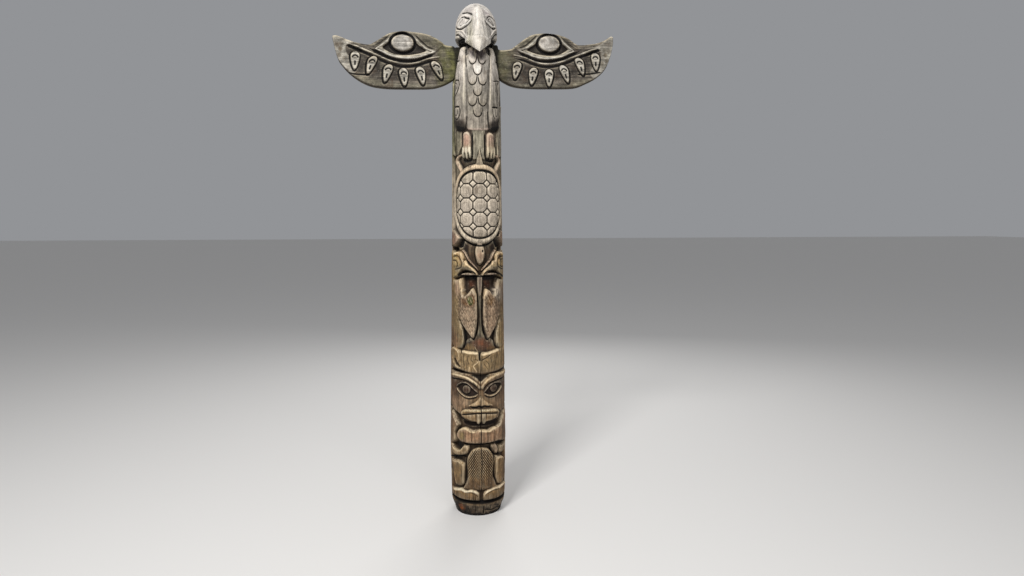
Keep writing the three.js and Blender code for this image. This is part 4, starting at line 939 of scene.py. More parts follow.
def carveHead():
    # The eagle's head: the beak that grows out of the face, eyes, brow line and the folds beside the beak
    level, turned = log["upward"], np.abs(angles)[None, :]
    crestReach, edgeAngle, _, profile = beakProfile(level)
    t = np.clip(turned / edgeAngle, 0, 1)
    swell = np.clip(crestReach - rowReach[:, None], 0, None) * onHead[:, None]
    along = np.interp(levels, [3060, 3120, 3200, 3280], [0, 1, 1, 0])[:, None]
    keel = 1.4 * np.exp(-(log["across"] / 9) ** 2) * along
    log["lift"] += swell * profile(t) + keel * onHead[:, None]
    # Raised eyes, each a leaf leaning outward and down, with a heavy lower line
    crest(log, [(-20, 3186), (-40, 3202), (-60, 3196), (-76, 3170), (-84, 3146)], 20, 3, "ddd6c8", 0.7)
    crest(log, [(-19, 3170), (-30, 3152), (-42, 3142), (-54, 3132), (-70, 3142)], 17, 4, "e6e0d3", 0.9)
    cut(log, [(-15, 3170), (-19, 3154), (-27, 3140), (-38, 3130), (-49, 3121), (-57, 3121), (-68, 3131),
              (-80, 3147)], 11, 6)
    cut(log, [(-46, 3121), (-57, 3120), (-68, 3130), (-79, 3146)], 14, 6)
    cut(log, [(-58, 3193), (-47, 3195), (-40, 3192), (-34, 3184), (-27, 3180), (-22, 3172)], 9, 5, stain=0.9)
    cut(log, [(-42, 3190), (-34, 3183), (-27, 3179), (-23, 3173)], 12, 5)
    cut(log, [(-23, 3172), (-27, 3163), (-32, 3156), (-37, 3149)], 8, 4, stain=0.75)
    cut(log, [(-47, 3182), (-54, 3170), (-59, 3160), (-60, 3150)], 9, 3, stain=0.45)
    cut(log, [(-61, 3188), (-70, 3172), (-74, 3156)], 8, 3, stain=0.4)
    cut(log, [(-54, 3147), (-52, 3141)], 10, 4, stain=0.9)
    wash(log, [(-44, 3184), (-36, 3176), (-42, 3160), (-52, 3160)], "b9b3a6", 0.6, soft=10)
    crest(log, [(16, 3184), (26, 3202), (40, 3210), (60, 3200)], 18, 3, "ded8ca", 0.7)
    crest(log, [(19, 3168), (26, 3156), (38, 3144), (50, 3142), (62, 3150)], 15, 4, "e6e0d3", 0.9)
    cut(log, [(21, 3170), (28, 3189), (37, 3200), (48, 3200), (57, 3191), (68, 3183), (74, 3172)], 9, 5,
        stain=0.92)
    cut(log, [(13, 3164), (18, 3150), (30, 3140), (41, 3130), (50, 3130), (62, 3140)], 9, 5, stain=0.92)
    cut(log, [(42, 3129), (51, 3129), (61, 3139)], 13, 6)
    cut(log, [(30, 3174), (34, 3183), (39, 3188), (43, 3178), (47, 3165), (52, 3154), (47, 3152),
              (38, 3164)], 8, 4, stain=0.8, closed=True)
    wash(log, [(34, 3180), (41, 3180), (47, 3160), (40, 3164)], "a9a498", 0.6, soft=8)
    cut(log, [(-60, 3224), (-46, 3220), (-33, 3219), (-21, 3206), (-14, 3194)], 13, 6)
    wash(log, [(-64, 3240), (-40, 3256), (-20, 3240), (-16, 3212), (-50, 3232)], "a29b92", 0.6, soft=24)
    wash(log, [(10, 3224), (28, 3232), (44, 3216), (28, 3200)], "b7ada6", 0.6)
    wash(log, [(-14, 3190), (-22, 3140), (-30, 3110), (-24, 3060), (-10, 3050), (-14, 3110)], "a7a389",
         0.55, soft=22)
    crest(log, [(-80, 3122), (-63, 3119), (-48, 3110), (-39, 3090), (-29, 3064), (-24, 3048)], 18, 5,
          "d6d0c2", 0.8)
    crest(log, [(-78, 3100), (-62, 3103), (-50, 3090), (-42, 3068)], 14, 3, "cfc9b9", 0.8)
    crest(log, [(74, 3134), (59, 3129), (50, 3116), (41, 3092), (28, 3064), (22, 3048)], 18, 5, "d6d0c2", 0.8)
    cut(log, [(-30, 3096), (-22, 3068), (-18, 3042)], 9, 3, stain=0.3)
    cut(log, [(-84, 3098), (-67, 3093), (-57, 3080), (-46, 3066), (-40, 3050)], 12, 8)
    cut(log, [(84, 3112), (62, 3102), (51, 3082), (41, 3062), (38, 3042)], 11, 8)
    cut(log, [(-3, 3276), (-2.5, 3256)], 12, 6)
    for line, width, stain in (([(-12, 3180), (-16, 3120), (-19, 3070), (-20, 3042)], 14, 0.22),
                               ([(12, 3250), (16, 3190), (20, 3120), (22, 3070), (22, 3042)], 9, 0.30),
                               ([(6, 3220), (8, 3160), (10, 3100), (11, 3042)], 9, 0.14),
                               ([(-7, 3190), (-9, 3130), (-11, 3080), (-12, 3042)], 9, 0.12)):
        cut(log, line, width, 1.0, stain=stain)
    crest(log, [(-2, 3290), (-2.5, 3250), (-4, 3200), (-3, 3150), (-2, 3100)], 13, 1, "e2ddd0", 0.8)
    # The foot of the head is cut back at the sides and lies in deep shade
    rise = np.interp(turned, [30, 36, 50, 96, 130, 180], [0, 20, 33, 37, 10, 4])
    above = level - headFoot
    under = np.clip((rise - above) / 6, 0, 1) * (above >= 0) * (rise > 0.5)
    log["lift"] -= 24 * under
    log["stain"] = np.maximum(log["stain"], under * np.interp(turned, [110, 140], [1, 0.3]))


# Light of each level over the drawn tints: bleached head and breast, warm brown lower figures
toning = [(0, (1.28, .98, .68)), (92, (1.1, .88, .66)), (112, (1.08, .93, .80)), (200, (.98, .84, .72)),
          (320, (.86, .75, .64)), (560, (.86, .76, .70)), (620, (.78, .68, .63)), (820, (.76, .66, .58)),
          (860, (.92, .79, .72)), (960, (.90, .79, .72)), (990, (1.02, .94, .88)), (1130, (1.02, .94, .88)),
          (1170, (.90, .82, .76)), (1500, (.87, .78, .72)), (1600, (.92, .80, .70)),
          (1780, (.92, .80, .70)), (1800, (1.08, 1.03, 1.06)), (2270, (1.06, 1.01, 1.03)),
          (2300, (.94, .87, .88)), (2500, (.86, .80, .80)), (2640, (.76, .73, .74)),
          (2720, (.86, .83, .85)), (2860, (1.24, 1.22, 1.30)), (3030, (1.32, 1.29, 1.38)),
          (3050, (1.18, 1.15, 1.22)), (3110, (1.20, 1.17, 1.24)), (3160, (1.30, 1.26, 1.34)),
          (3300, (1.36, 1.32, 1.40))]


def toneLog():
    # Pale tints keep most of their light; the turned sides of the lower figures get a brown painted shade
    tint = log["tint"]
    bright = np.clip((tint.mean(axis=2) - 0.36) / 0.3, 0, 1)
    for channel in range(3):
        factor = np.interp(levels, [level for level, _ in toning],
                           [rgb[channel] for _, rgb in toning])[:, None]
        tint[..., channel] *= 1 + (factor - 1) * np.where(factor < 1, 1 - 0.7 * bright, 1)
    sideShade = np.interp(np.abs(angles + 6), [54, 88, 100, 128], [0, 1, 1, 0.3])[None, :]
    sideShade = sideShade * np.interp(levels, [90, 120, 1500, 2100, 3000], [0, 1, 1, .3, .15])[:, None]
    tint = np.clip(tint * (1 - np.array([0.34, 0.46, 0.56]) * sideShade[..., None]), 0, 0.9)
    # Behind, the tones run into each other: there the tint gives way to its own mean up and down
    plain = np.stack([averaged(tint[..., channel], pole["backBlend"], 1) for channel in range(3)], axis=2)
    behind = np.interp(np.abs(angles), [94, 112], [0, 1]) * np.interp(levels, [110, 260], [0, 1])[:, None]
    log["tint"] = tint + (plain - tint) * behind[..., None]


def weatherLog():
    # Drying checks, grain, the rotten foot and the soft wear of the whole log
    wrap = 360.0
    grain = ripple(log, 3.2, 150, 1, wrap) * 0.6 + ripple(log, 7, 260, 2, wrap) * 0.4
    dents = ripple(log, 26, 40, 3, wrap)
    fade = np.where(onHead, np.interp(levels, [3200, 3290], [1, 0]), 1)[:, None]
    log["lift"] += (pole["grainDepth"] * grain + 0.9 * dents) * fade
    crack = [(-2, 1098), (-0.5, 1060), (0.6, 1010), (0, 950), (-0.6, 890), (0.4, 830), (0, 760), (0.6, 690),
             (0, 620), (0.8, 560), (0.2, 500), (0.8, 440), (2, 360), (1, 290), (1.4, 220), (0.6, 170),
             (0.6, 112)]
    cut(log, crack, 7, 7, stain=0.95)
    for angle, low, high in ((-26, 110, 172), (-60, 120, 160), (40, 118, 186), (62, 112, 180),
                             (-20, 505, 585), (30, 500, 580), (-38, 510, 570), (55, 480, 600),
                             (14, 500, 560), (-46, 520, 590), (-11, 500, 590), (20, 510, 570),
                             (-13, 112, 150), (26, 112, 150)):
        cut(log, [(angle, low), (angle + 1, (low + high) / 2), (angle, high)], 4.5, 3, stain=0.6)
    chance = np.random.default_rng(11)
    for _ in range(pole["shortChecks"]):
        inFront = chance.uniform() < 0.7
        angle = chance.uniform(-100, 100) if inFront else chance.uniform(100, 178) * chance.choice([-1, 1])
        low = chance.uniform(160, 2900)
        run = chance.uniform(60, 320)
        bend = chance.uniform(-1.5, 1.5)
        cut(log, [(angle, low), (angle + bend, low + run * 0.5), (angle + bend * 0.4,
                min(low + run, 3000))], chance.uniform(3, 4.5), chance.uniform(1, 2.2),
            stain=chance.uniform(0.2, 0.4))
    for angle, low, high in ((-140, 300, 1900), (172, 900, 2950), (132, 150, 1200), (-165, 1700, 3000),
                             (118, 1500, 2800)):
        spots = np.linspace(low, high, 7)
        bends = np.cumsum(chance.uniform(-1.5, 1.5, 7))
        cut(log, list(zip(angle + bends, spots)), 13, 9, stain=0.9)
    # The foot in the ground: ragged, blackened, with short cracks and a rusty patch
    rot = np.clip(1 - levels / 96.0, 0, 1)[:, None]
    ragged = ripple(log, 22, 16, 5, wrap) + 0.6 * ripple(log, 9, 30, 6, wrap)
    log["lift"] -= np.clip(rot * 1.5, 0, 1) * (3 + 4 * ragged) * np.clip(levels / 12, 0, 1)[:, None]
    foot = np.clip((100 - levels) / 8, 0, 1)[:, None]
    grey = 0.55 + 0.45 * ripple(log, 20, 22, 8, wrap) + 0.35 * ripple(log, 8, 34, 9, wrap)
    log["tint"] *= 1 + foot[..., None] * (np.clip(0.5 + 1.1 * grey, 0.5, 2.1)[..., None] - 1)
    dark = foot * np.clip(-0.3 - ripple(log, 30, 24, 10, wrap), 0, 0.5) * 1.4
    low = np.clip((22 + 9 * ripple(log, 16, 400, 12, wrap) - levels[:, None]) / 8, 0, 1)
    log["stain"] = np.maximum(log["stain"], np.maximum(dark, 0.95 * low))
    cut(log, [(-96, 98), (-50, 97), (0, 97), (50, 96), (96, 94)], 30, 8)
    cut(log, [(6, 47), (18, 38), (32, 32), (42, 38), (54, 28), (70, 34)], 11, 8)
    cut(log, [(6, 78), (6.5, 50), (6, 12)], 10, 7, stain=0.95)
    cut(log, [(32, 66), (42, 58), (53, 42)], 8, 6, stain=0.8)
    cut(log, [(-30, 74), (-29, 40), (-26, 12)], 8, 5, stain=0.8)
    cut(log, [(-14, 76), (-13, 46), (-15, 20)], 7, 5, stain=0.7)
    cut(log, [(22, 76), (23, 56), (21, 38)], 8, 5, stain=0.8)
    wash(log, [(-70, 80), (-36, 80), (-30, 40), (-44, 16), (-70, 20)], "0e0a08", 0.8, soft=22, stain=0.55)
    wash(log, [(-58, 62), (-50, 76), (-38, 74), (-39, 40), (-50, 28), (-57, 36)], "8a5730", 0.9, soft=16)
    rows, cols, _, held = area(log, [(-56, 60), (-50, 70), (-42, 68), (-43, 44), (-54, 40)], 6)
    log["stain"][rows, cols] *= 1 - held * 0.7
    toneLog()


for step in (carveEagle, carveTurtle, carveBirds, carveBand, carveBeaver, carveHead, weatherLog):
    step()
    print("carved", step.__name__)


# Shade and wear fields of a sheet: painted shade in hollows and under down-facing slopes, painted highlight
# on upward ledges and on raised edges, which are also worn
def shadeAndWearFields(sheet, rowStep, columnStep):
    # Height against its own running means, near and far, and the slope that faces up
    near = sheet["lift"] - averaged(sheet["lift"], max(1, int(7 / rowStep)), max(1, int(7 / columnStep)))
    far = sheet["lift"] - averaged(sheet["lift"], int(26 / rowStep), int(26 / columnStep))
    slope = -np.gradient(averaged(sheet["lift"], 2, 2), axis=0) / rowStep
    paintedShade = np.clip(-near / 4.0, 0, 1) * 0.8 + np.clip(-far / 11.0, 0, 1) * 0.8
    edge = np.clip(near / 3.0, 0, 1) * 0.7 + np.clip(slope, 0, 1) * 0.7
    under = np.clip(-slope, 0, 1)
    return np.clip(paintedShade + 0.7 * under, 0, 1), np.clip(edge - paintedShade, 0, 1)


def meshPiece(name, points, faces):
    # A mesh object at the origin from points in millimetres
    mesh = bpy.data.meshes.new(name)
    mesh.from_pydata((np.asarray(points) / 1000.0).tolist(), [], faces)
    mesh.update()
    piece = bpy.data.objects.new(name, mesh)
    scene.collection.objects.link(piece)
    return piece


def thinned(piece, triangles):
    # Thins a piece's mesh to a number of triangles, keeping most where it bends most
    total = sum(len(p.vertices) - 2 for p in piece.data.polygons)
    if total > triangles:
        modifier = piece.modifiers.new("thin", "DECIMATE")
        modifier.ratio = triangles / total
        seen = piece.evaluated_get(bpy.context.evaluated_depsgraph_get())
        mesh = bpy.data.meshes.new_from_object(seen)
        piece.modifiers.clear()
        old = piece.data
        piece.data = mesh
        mesh.name = old.name
        bpy.data.meshes.remove(old)


def vertexPlaces(piece):
    # The places of a piece's vertices, in millimetres
    flat = np.empty(len(piece.data.vertices) * 3)
    piece.data.vertices.foreach_get("co", flat)
    return flat.reshape(-1, 3) * 1000.0


def paintPiece(piece, tint, stain, paintedShade, edge):
    # Writes the fields onto the vertices: the tint, and as one colour the painted shade and stain, the
    # painted shade of hollows, and the painted highlight and wear of edges
    count = len(piece.data.vertices)
    for name, rgb in (("tint", tint), ("shadeAndWear", np.column_stack([stain, paintedShade, edge]))):
        layer = piece.data.color_attributes.new(name, "FLOAT_COLOR", "POINT")
        layer.data.foreach_set("color", np.column_stack([rgb, np.ones(count)]).ravel())
    piece.data.polygons.foreach_set("use_smooth", np.ones(len(piece.data.polygons), bool))
    piece.data.update()


def turnedTo(place):
    # The angle of places round the log's axis, in degrees from the front
    return np.degrees(np.arctan2(place[:, 0], -place[:, 1]))


def tubeFaces(rows, columns, flipped=False):
    # Quads between neighbouring rows of a grid that runs round, and at each end a fan to a middle point
    ring = np.arange(columns)
    after = (ring + 1) % columns
    starts = np.arange(rows - 1)[:, None] * columns
    here, beside = (starts + ring).ravel(), (starts + after).ravel()
    quads = np.column_stack([here, beside, beside + columns, here + columns])
    last, foot = (rows - 1) * columns, rows * columns
    lower = np.column_stack([after, ring, np.full(columns, foot)])
    upper = np.column_stack([last + ring, last + after, np.full(columns, foot + 1)])
    return [face for part in (quads, lower, upper) for face in (part[:, ::-1] if flipped else part).tolist()]


def beakSurface():
    # The hanging part of the beak, a closed shell: level rows whose front follows the beak's profile and
    # whose back is the straight line between its edges; its top is sunk into the face
    rows = np.concatenate([np.linspace(beak["low"], beak["low"] + 12, 8),
                           np.arange(beak["low"] + 14, 3086, 2.0)])
    across, behind = beak["acrossFront"], beak["acrossBack"]
    crestReach, edgeAngle, edgeReach, profile = beakProfile(rows[:, None])
    t = np.linspace(-1, 1, across)[None, :]
    proud = np.interp(rows, [3040, 3056, 3080], [1.2, 1.2, -5])[:, None] * (1 - t ** 4)
    proud = proud * np.clip((rows - beak["low"]) / 20, 0, 1)[:, None]
    reach = edgeReach + (crestReach - edgeReach) * profile(np.abs(t)) + proud
    turn = np.radians(t * edgeAngle)
    x, y = reach * np.sin(turn), -reach * np.cos(turn)
    share = np.linspace(0, 1, behind + 2)[None, 1:-1]
    backX = x[:, -1:] + (x[:, :1] - x[:, -1:]) * share
    backY = y[:, -1:] + (y[:, :1] - y[:, -1:]) * share
    x, y = np.concatenate([x, backX], axis=1), np.concatenate([y, backY], axis=1)
    columns = across + behind
    points = np.stack([x, y, np.repeat(rows[:, None], columns, axis=1)], axis=2).reshape(-1, 3)
    ends = np.array([points[:columns].mean(0), points[-columns:].mean(0)])
    return np.concatenate([points, ends]), tubeFaces(len(rows), columns)


def buildPole():
    # The log as a closed tube of its sheet: x is the reach times the sine of the turn, y the reach times
    # its cosine, forwards. The beak is a closed shell set in it.
    turn = np.radians(angles)[None, :]
    # The dark cuts are drawn deeper while the mesh is thinned, so that it keeps its points along them
    deeper = np.where(onHead[:, None], 0, pole["deeperCuts"] * log["stain"])
    reach = rowReach[:, None] + log["lift"] * np.cos(outlineTurn)[:, None] - deeper
    height = levels[:, None] - log["lift"] * np.sin(outlineTurn)[:, None]
    points = np.stack([reach * np.sin(turn), -reach * np.cos(turn), height], axis=2).reshape(-1, 3)
    points = np.concatenate([points, [[0, 0, 0], [0, 0, poleTop]]])
    piece = meshPiece("carved_pole", points, tubeFaces(len(levels), len(angles)))
    thinned(piece, pole["triangles"])
    place = vertexPlaces(piece)
    u = turnedTo(place)
    settled = np.interp(place[:, 2], levels, rowReach) + sampled(log, log["lift"], u, place[:, 2])
    fromAxis = np.hypot(place[:, 0], place[:, 1])
    onLog = (place[:, 2] < logRows[-1]) & (fromAxis > 40)
    reach = np.where(onLog, settled, fromAxis)
    place[:, 0], place[:, 1] = reach * np.sin(np.radians(u)), -reach * np.cos(np.radians(u))
    piece.data.vertices.foreach_set("co", (place / 1000.0).ravel())
    paintedShade, edge = shadeAndWearFields(log, pole["rowStep"], pole["shadeAndWearSpacing"])
    # The step from neck to head is no edge: the first head rows take the painted shade and highlight of the
    # rows above them
    joining, above = onHead & (levels < pole["neckShadingLevel"]), np.searchsorted(levels, pole["neckShadingLevel"])
    paintedShade[joining], edge[joining] = paintedShade[above], edge[above]
    behind = np.interp(np.abs(angles), [80, 110], [1, 0.5])[None, :]
    edge *= np.clip((levels - 104) / 10, 0.1, 1)[:, None] * behind
    fields = [sampled(log, field, u, place[:, 2]) for field in (log["tint"], log["stain"], paintedShade, edge)]
    paintPiece(piece, *fields)
    tip = meshPiece("beak", *beakSurface())
    spots = vertexPlaces(tip)
    u, level = turnedTo(spots), np.maximum(spots[:, 2], beak["toneLevel"])
    edgeAngle, edgeReach = beakProfile(spots[:, 2])[1:3]
    # The back of the hanging beak gets painted shade
    backward = edgeReach * np.cos(np.radians(edgeAngle)) + spots[:, 1] > -0.5
    under = np.where(backward & (np.abs(u) < edgeAngle * 0.995), 0.95, 0.0)
    # The tip's tint is raised by a gain: painted light on the hanging tip, which faces a little down
    tints = np.clip(sampled(log, log["tint"], u, level) * beak["toneGain"], 0, 0.95)
    shadesAndStains = np.maximum(sampled(log, log["stain"], u, level) * 0.8, under)
    litAndWornEdge = sampled(log, edge, u, level) * (under < 0.5)
    paintPiece(tip, tints, shadesAndStains, np.zeros(len(spots)), litAndWornEdge)
    with bpy.context.temp_override(active_object=piece, selected_editable_objects=[piece, tip]):
        bpy.ops.object.join()
    return piece


polePiece = buildPole()
print("pole", len(polePiece.data.polygons))


# Wing boards, drawn for the viewer's right: out from the axis, and up from the board's own middle line
wing = {
    "thickness": 46.0,
    "rounding": 9.0,
    "step": 2.2,
    "sheetStep": 2.0,
    "frontSamples": 150,
    "backSamples": 28,
    "shortChecks": 26,
    "field": "7a7165",
    "raised": "bcb4a2",
    "moss": "666632",
    "back": "766e60",
}
drawnMiddle = 14.0
eagleFoot = 2290.0
wingSides = {
    "carved_wing_left": {
        "side": -1, "node": "wing_left", "rise": 648.0, "seed": 20, "mossy": 1.0,
        "top": [(96, 102), (138, 102), (146, 108), (196, 114), (223, 134), (271, 161), (330, 179),
                (410, 187), (463, 190), (537, 176), (595, 143), (643, 113), (675, 100), (753, 111),
                (804, 127), (856, 146), (880, 148), (890, 140)],
        "bottom": [(96, -74), (138, -74), (146, -98), (199, -130), (253, -150), (307, -158), (415, -162),
                   (548, -164), (628, -158), (680, -146), (732, -122), (789, -82), (834, -34), (859, 5),
                   (878, 73), (890, 128)],
        "feathers": [(755, 0, 5), (659, -25, 37), (560, -72, 27), (457, -92, -8), (349, -81, -22),
                     (246, -44, -46)],
        "eye": (464, 115), "ledge": [(800, -74), (757, -83), (700, -84), (672, -82)],
    },
    "carved_wing_right": {
        "side": 1, "node": "wing_right", "rise": 668.0, "seed": 40, "mossy": 0.55,
        "top": [(96, 102), (134, 102), (140, 80), (171, 76), (224, 86), (278, 126), (332, 164), (385, 184),
                (467, 191), (549, 180), (604, 159), (648, 130), (687, 126), (770, 137), (825, 154),
                (868, 180), (886, 188), (897, 178)],
        "bottom": [(96, -74), (134, -74), (146, -104), (181, -128), (240, -150), (332, -158), (469, -156),
                   (634, -148), (717, -118), (789, -79), (844, -24), (876, 52), (892, 120), (897, 162)],
        "feathers": [(255, -50, -20), (362, -83, -16), (469, -90, 0), (575, -61, 35), (677, -11, 32),
                     (777, 22, 8)],
        "eye": (468, 123), "ledge": [(818, -44), (744, -56), (677, -62), (655, -60)],
    },
}


def carveWing(sheet, sizes):
    # Eye disk in its almond, two lid lines, the feather ends and the paler tip
    ex, ez = sizes["eye"]
    shiftX, shiftZ = ex - 464, ez - 115
    moved = lambda points: [(x + shiftX, z + shiftZ) for x, z in points]
    tipLayer = [(905, 200), (905, 60), (830, -60), (790, -90), (760, -84), (740, -40), (800, 40), (806, 84),
                (770, 104), (700, 100), (800, 130)]
    form(sheet, tipLayer, 3, edge=10, tint="b9b2a4")
    almond = moved([(618, 82), (596, 92), (560, 122), (530, 156), (500, 184), (430, 184), (400, 160),
                    (360, 118), (310, 76), (290, 66), (330, 46), (385, 30), (465, 24), (545, 38), (596, 66)])
    upper = moved([(690, 96), (640, 104), (600, 140), (545, 178), (480, 194), (410, 190), (330, 184),
                   (262, 164), (215, 118), (240, 84), (270, 66), (330, 80), (380, 120), (430, 160),
                   (500, 164), (540, 120), (600, 88)])
    form(sheet, upper, 4, edge=14, tint="8d8573", amount=0.9)
    form(sheet, almond, 6, edge=7, tint=wing["raised"])
    sink(sheet, moved([(588, 86), (552, 118), (524, 150), (490, 178), (440, 178), (404, 144), (364, 106),
                       (318, 72), (350, 56), (400, 44), (465, 38), (530, 48), (570, 68)]), -7, edge=6,
         stain=0.4)
    wash(sheet, moved([(588, 86), (552, 118), (490, 178), (440, 178), (364, 106), (318, 72), (400, 44),
                       (465, 38), (530, 48)]), "3b352e", 0.95, soft=10)
    for corner in ([(592, 86), (556, 112), (540, 96)], [(316, 72), (350, 96), (372, 84)]):
        wash(sheet, moved(corner), "14100d", 0.8, soft=16, stain=0.5)
    lid = moved([(628, 74), (596, 62), (545, 38), (465, 24), (385, 28), (320, 48), (262, 70)])
    ridge(sheet, lid, [9, 12, 13, 13, 12, 9], [6, 9, 9, 9, 6], tint="e2dccf")
    ridge(sheet, moved([(622, 80), (596, 96), (556, 128), (528, 158)]), [8, 11, 9], [6, 8, 5], tint="ddd7ca")
    ridge(sheet, moved([(270, 70), (318, 86), (364, 124), (400, 160)]), [8, 11, 9], [6, 8, 5], tint="d3cdbf")
    cut(sheet, moved([(664, 76), (600, 43), (545, 19), (465, 3), (385, 7), (320, 29), (262, 58)]), 25, 10)
    brow = moved([(800, 100), (750, 88), (702, 68), (624, 38), (545, 6), (464, -10), (385, -4), (300, 26),
                  (236, 38)])
    ridge(sheet, brow, [9, 13, 13, 12, 12, 12, 11, 8], [5, 8, 9, 9, 9, 8, 6], tint="dad3c4")
    cut(sheet, moved([(808, 88), (750, 70), (702, 50), (624, 18), (545, -14), (464, -29), (385, -22),
                      (300, 6), (240, 18)]), 19, 8)
    cut(sheet, moved([(800, 90), (756, 72), (706, 52)]), 26, 8, stain=0.9)
    cut(sheet, moved([(640, 92), (606, 108), (566, 138), (540, 166)]), 8, 3, stain=0.5)
    cut(sheet, moved([(268, 84), (306, 96), (350, 132), (384, 164)]), 12, 4, stain=0.8)
    cut(sheet, ellipse(ex, ez, 79, 60, 20), 20, 9, closed=True)
    form(sheet, ellipse(ex, ez, 71, 52, 20), 9, edge=8, dome=3, tint="cfc8bd")
    wash(sheet, moved([(760, 60), (700, 20), (620, -12), (545, -40), (464, -52), (385, -46), (290, -20),
                       (270, -60), (380, -96), (470, -104), (560, -90), (660, -50), (760, 10)]), "4d463e",
         0.75, soft=30)
    wash(sheet, [(230, -140), (330, -132), (470, -132), (600, -128), (700, -100), (760, -90), (700, -160),
                 (240, -176)], "9a937f", 0.7, soft=24)
    for x in (300, 404, 508, 618, 716):
        wash(sheet, [(x - 22, -10), (x + 20, -14), (x + 26, -70), (x - 18, -74)], "37312a", 0.55, soft=34)
    for x, z, dark in ((842, 66, 0.8), (850, 30, 0.6), (862, 90, 0.5), (820, 10, 0.5), (836, 96, 0.4)):
        wash(sheet, [(x - 12, z), (x, z + 14), (x + 14, z + 2), (x + 2, z - 16)], "6a5a44", dark, soft=12)
    cut(sheet, sizes["ledge"], 12, 6)
    wash(sheet, [(690, -150), (600, -166), (600, -120), (680, -100), (790, -92)], "9b927c", 0.6, soft=30)
    wash(sheet, [(800, 76), (760, 66), (700, 44), (700, 30), (780, 56)], "2b251f", 0.7, soft=24, stain=0.3)
    wash(sheet, moved([(628, 104), (606, 130), (574, 156), (556, 148), (580, 126), (604, 98)]), "4a443c",
         0.85, soft=12, stain=0.2)
    wash(sheet, moved([(330, 150), (296, 138), (260, 104), (290, 100), (340, 126)]), "5a5544", 0.7, soft=18)
    wash(sheet, moved([(620, 66), (545, 30), (465, 14), (385, 18), (300, 44), (300, 20), (385, -2),
                       (465, -8), (545, 8), (640, 46)]), "3a342d", 0.8, soft=12)
    for x, z, _ in sizes["feathers"]:
        wash(sheet, [(x - 50, z + 70), (x + 46, z + 72), (x + 44, z - 30), (x, z - 74), (x - 46, z - 40)],
             "463f37", 0.35, soft=40)


def featherEnd(sheet, x, z, lean):
    # One feather end: broad and round above, tapering below, with an arch and a slot cut in it
    outline = [(-14, 52), (0, 56), (14, 52), (26, 40), (29, 24), (26, 2), (18, -28), (9, -49), (0, -55),
               (-9, -49), (-18, -28), (-26, 2), (-29, 24), (-26, 40)]
    length = 105.0
    shear = lean / length
    placed = lambda points: [(x + px - shear * pz, z + pz) for px, pz in points]
    # The dark outline is set off down and to one side of the feather: a painted shadow below it
    cut(sheet, placed([(px * 1.08 + 3, pz * 1.05 - 5) for px, pz in outline]), 13, 6, closed=True)
    form(sheet, placed(outline), 7, edge=5, dome=2, tint="d3ccbe")
    cut(sheet, placed([(-18, 14), (-13, 25), (0, 30), (13, 25), (18, 14)]), 13, 5)
    wash(sheet, placed([(-13, 12), (0, 20), (13, 12), (0, 8)]), "6f675b", 0.7, soft=8)
    cut(sheet, placed([(0, -2), (0, -14), (0, -30)]), 14, 5)


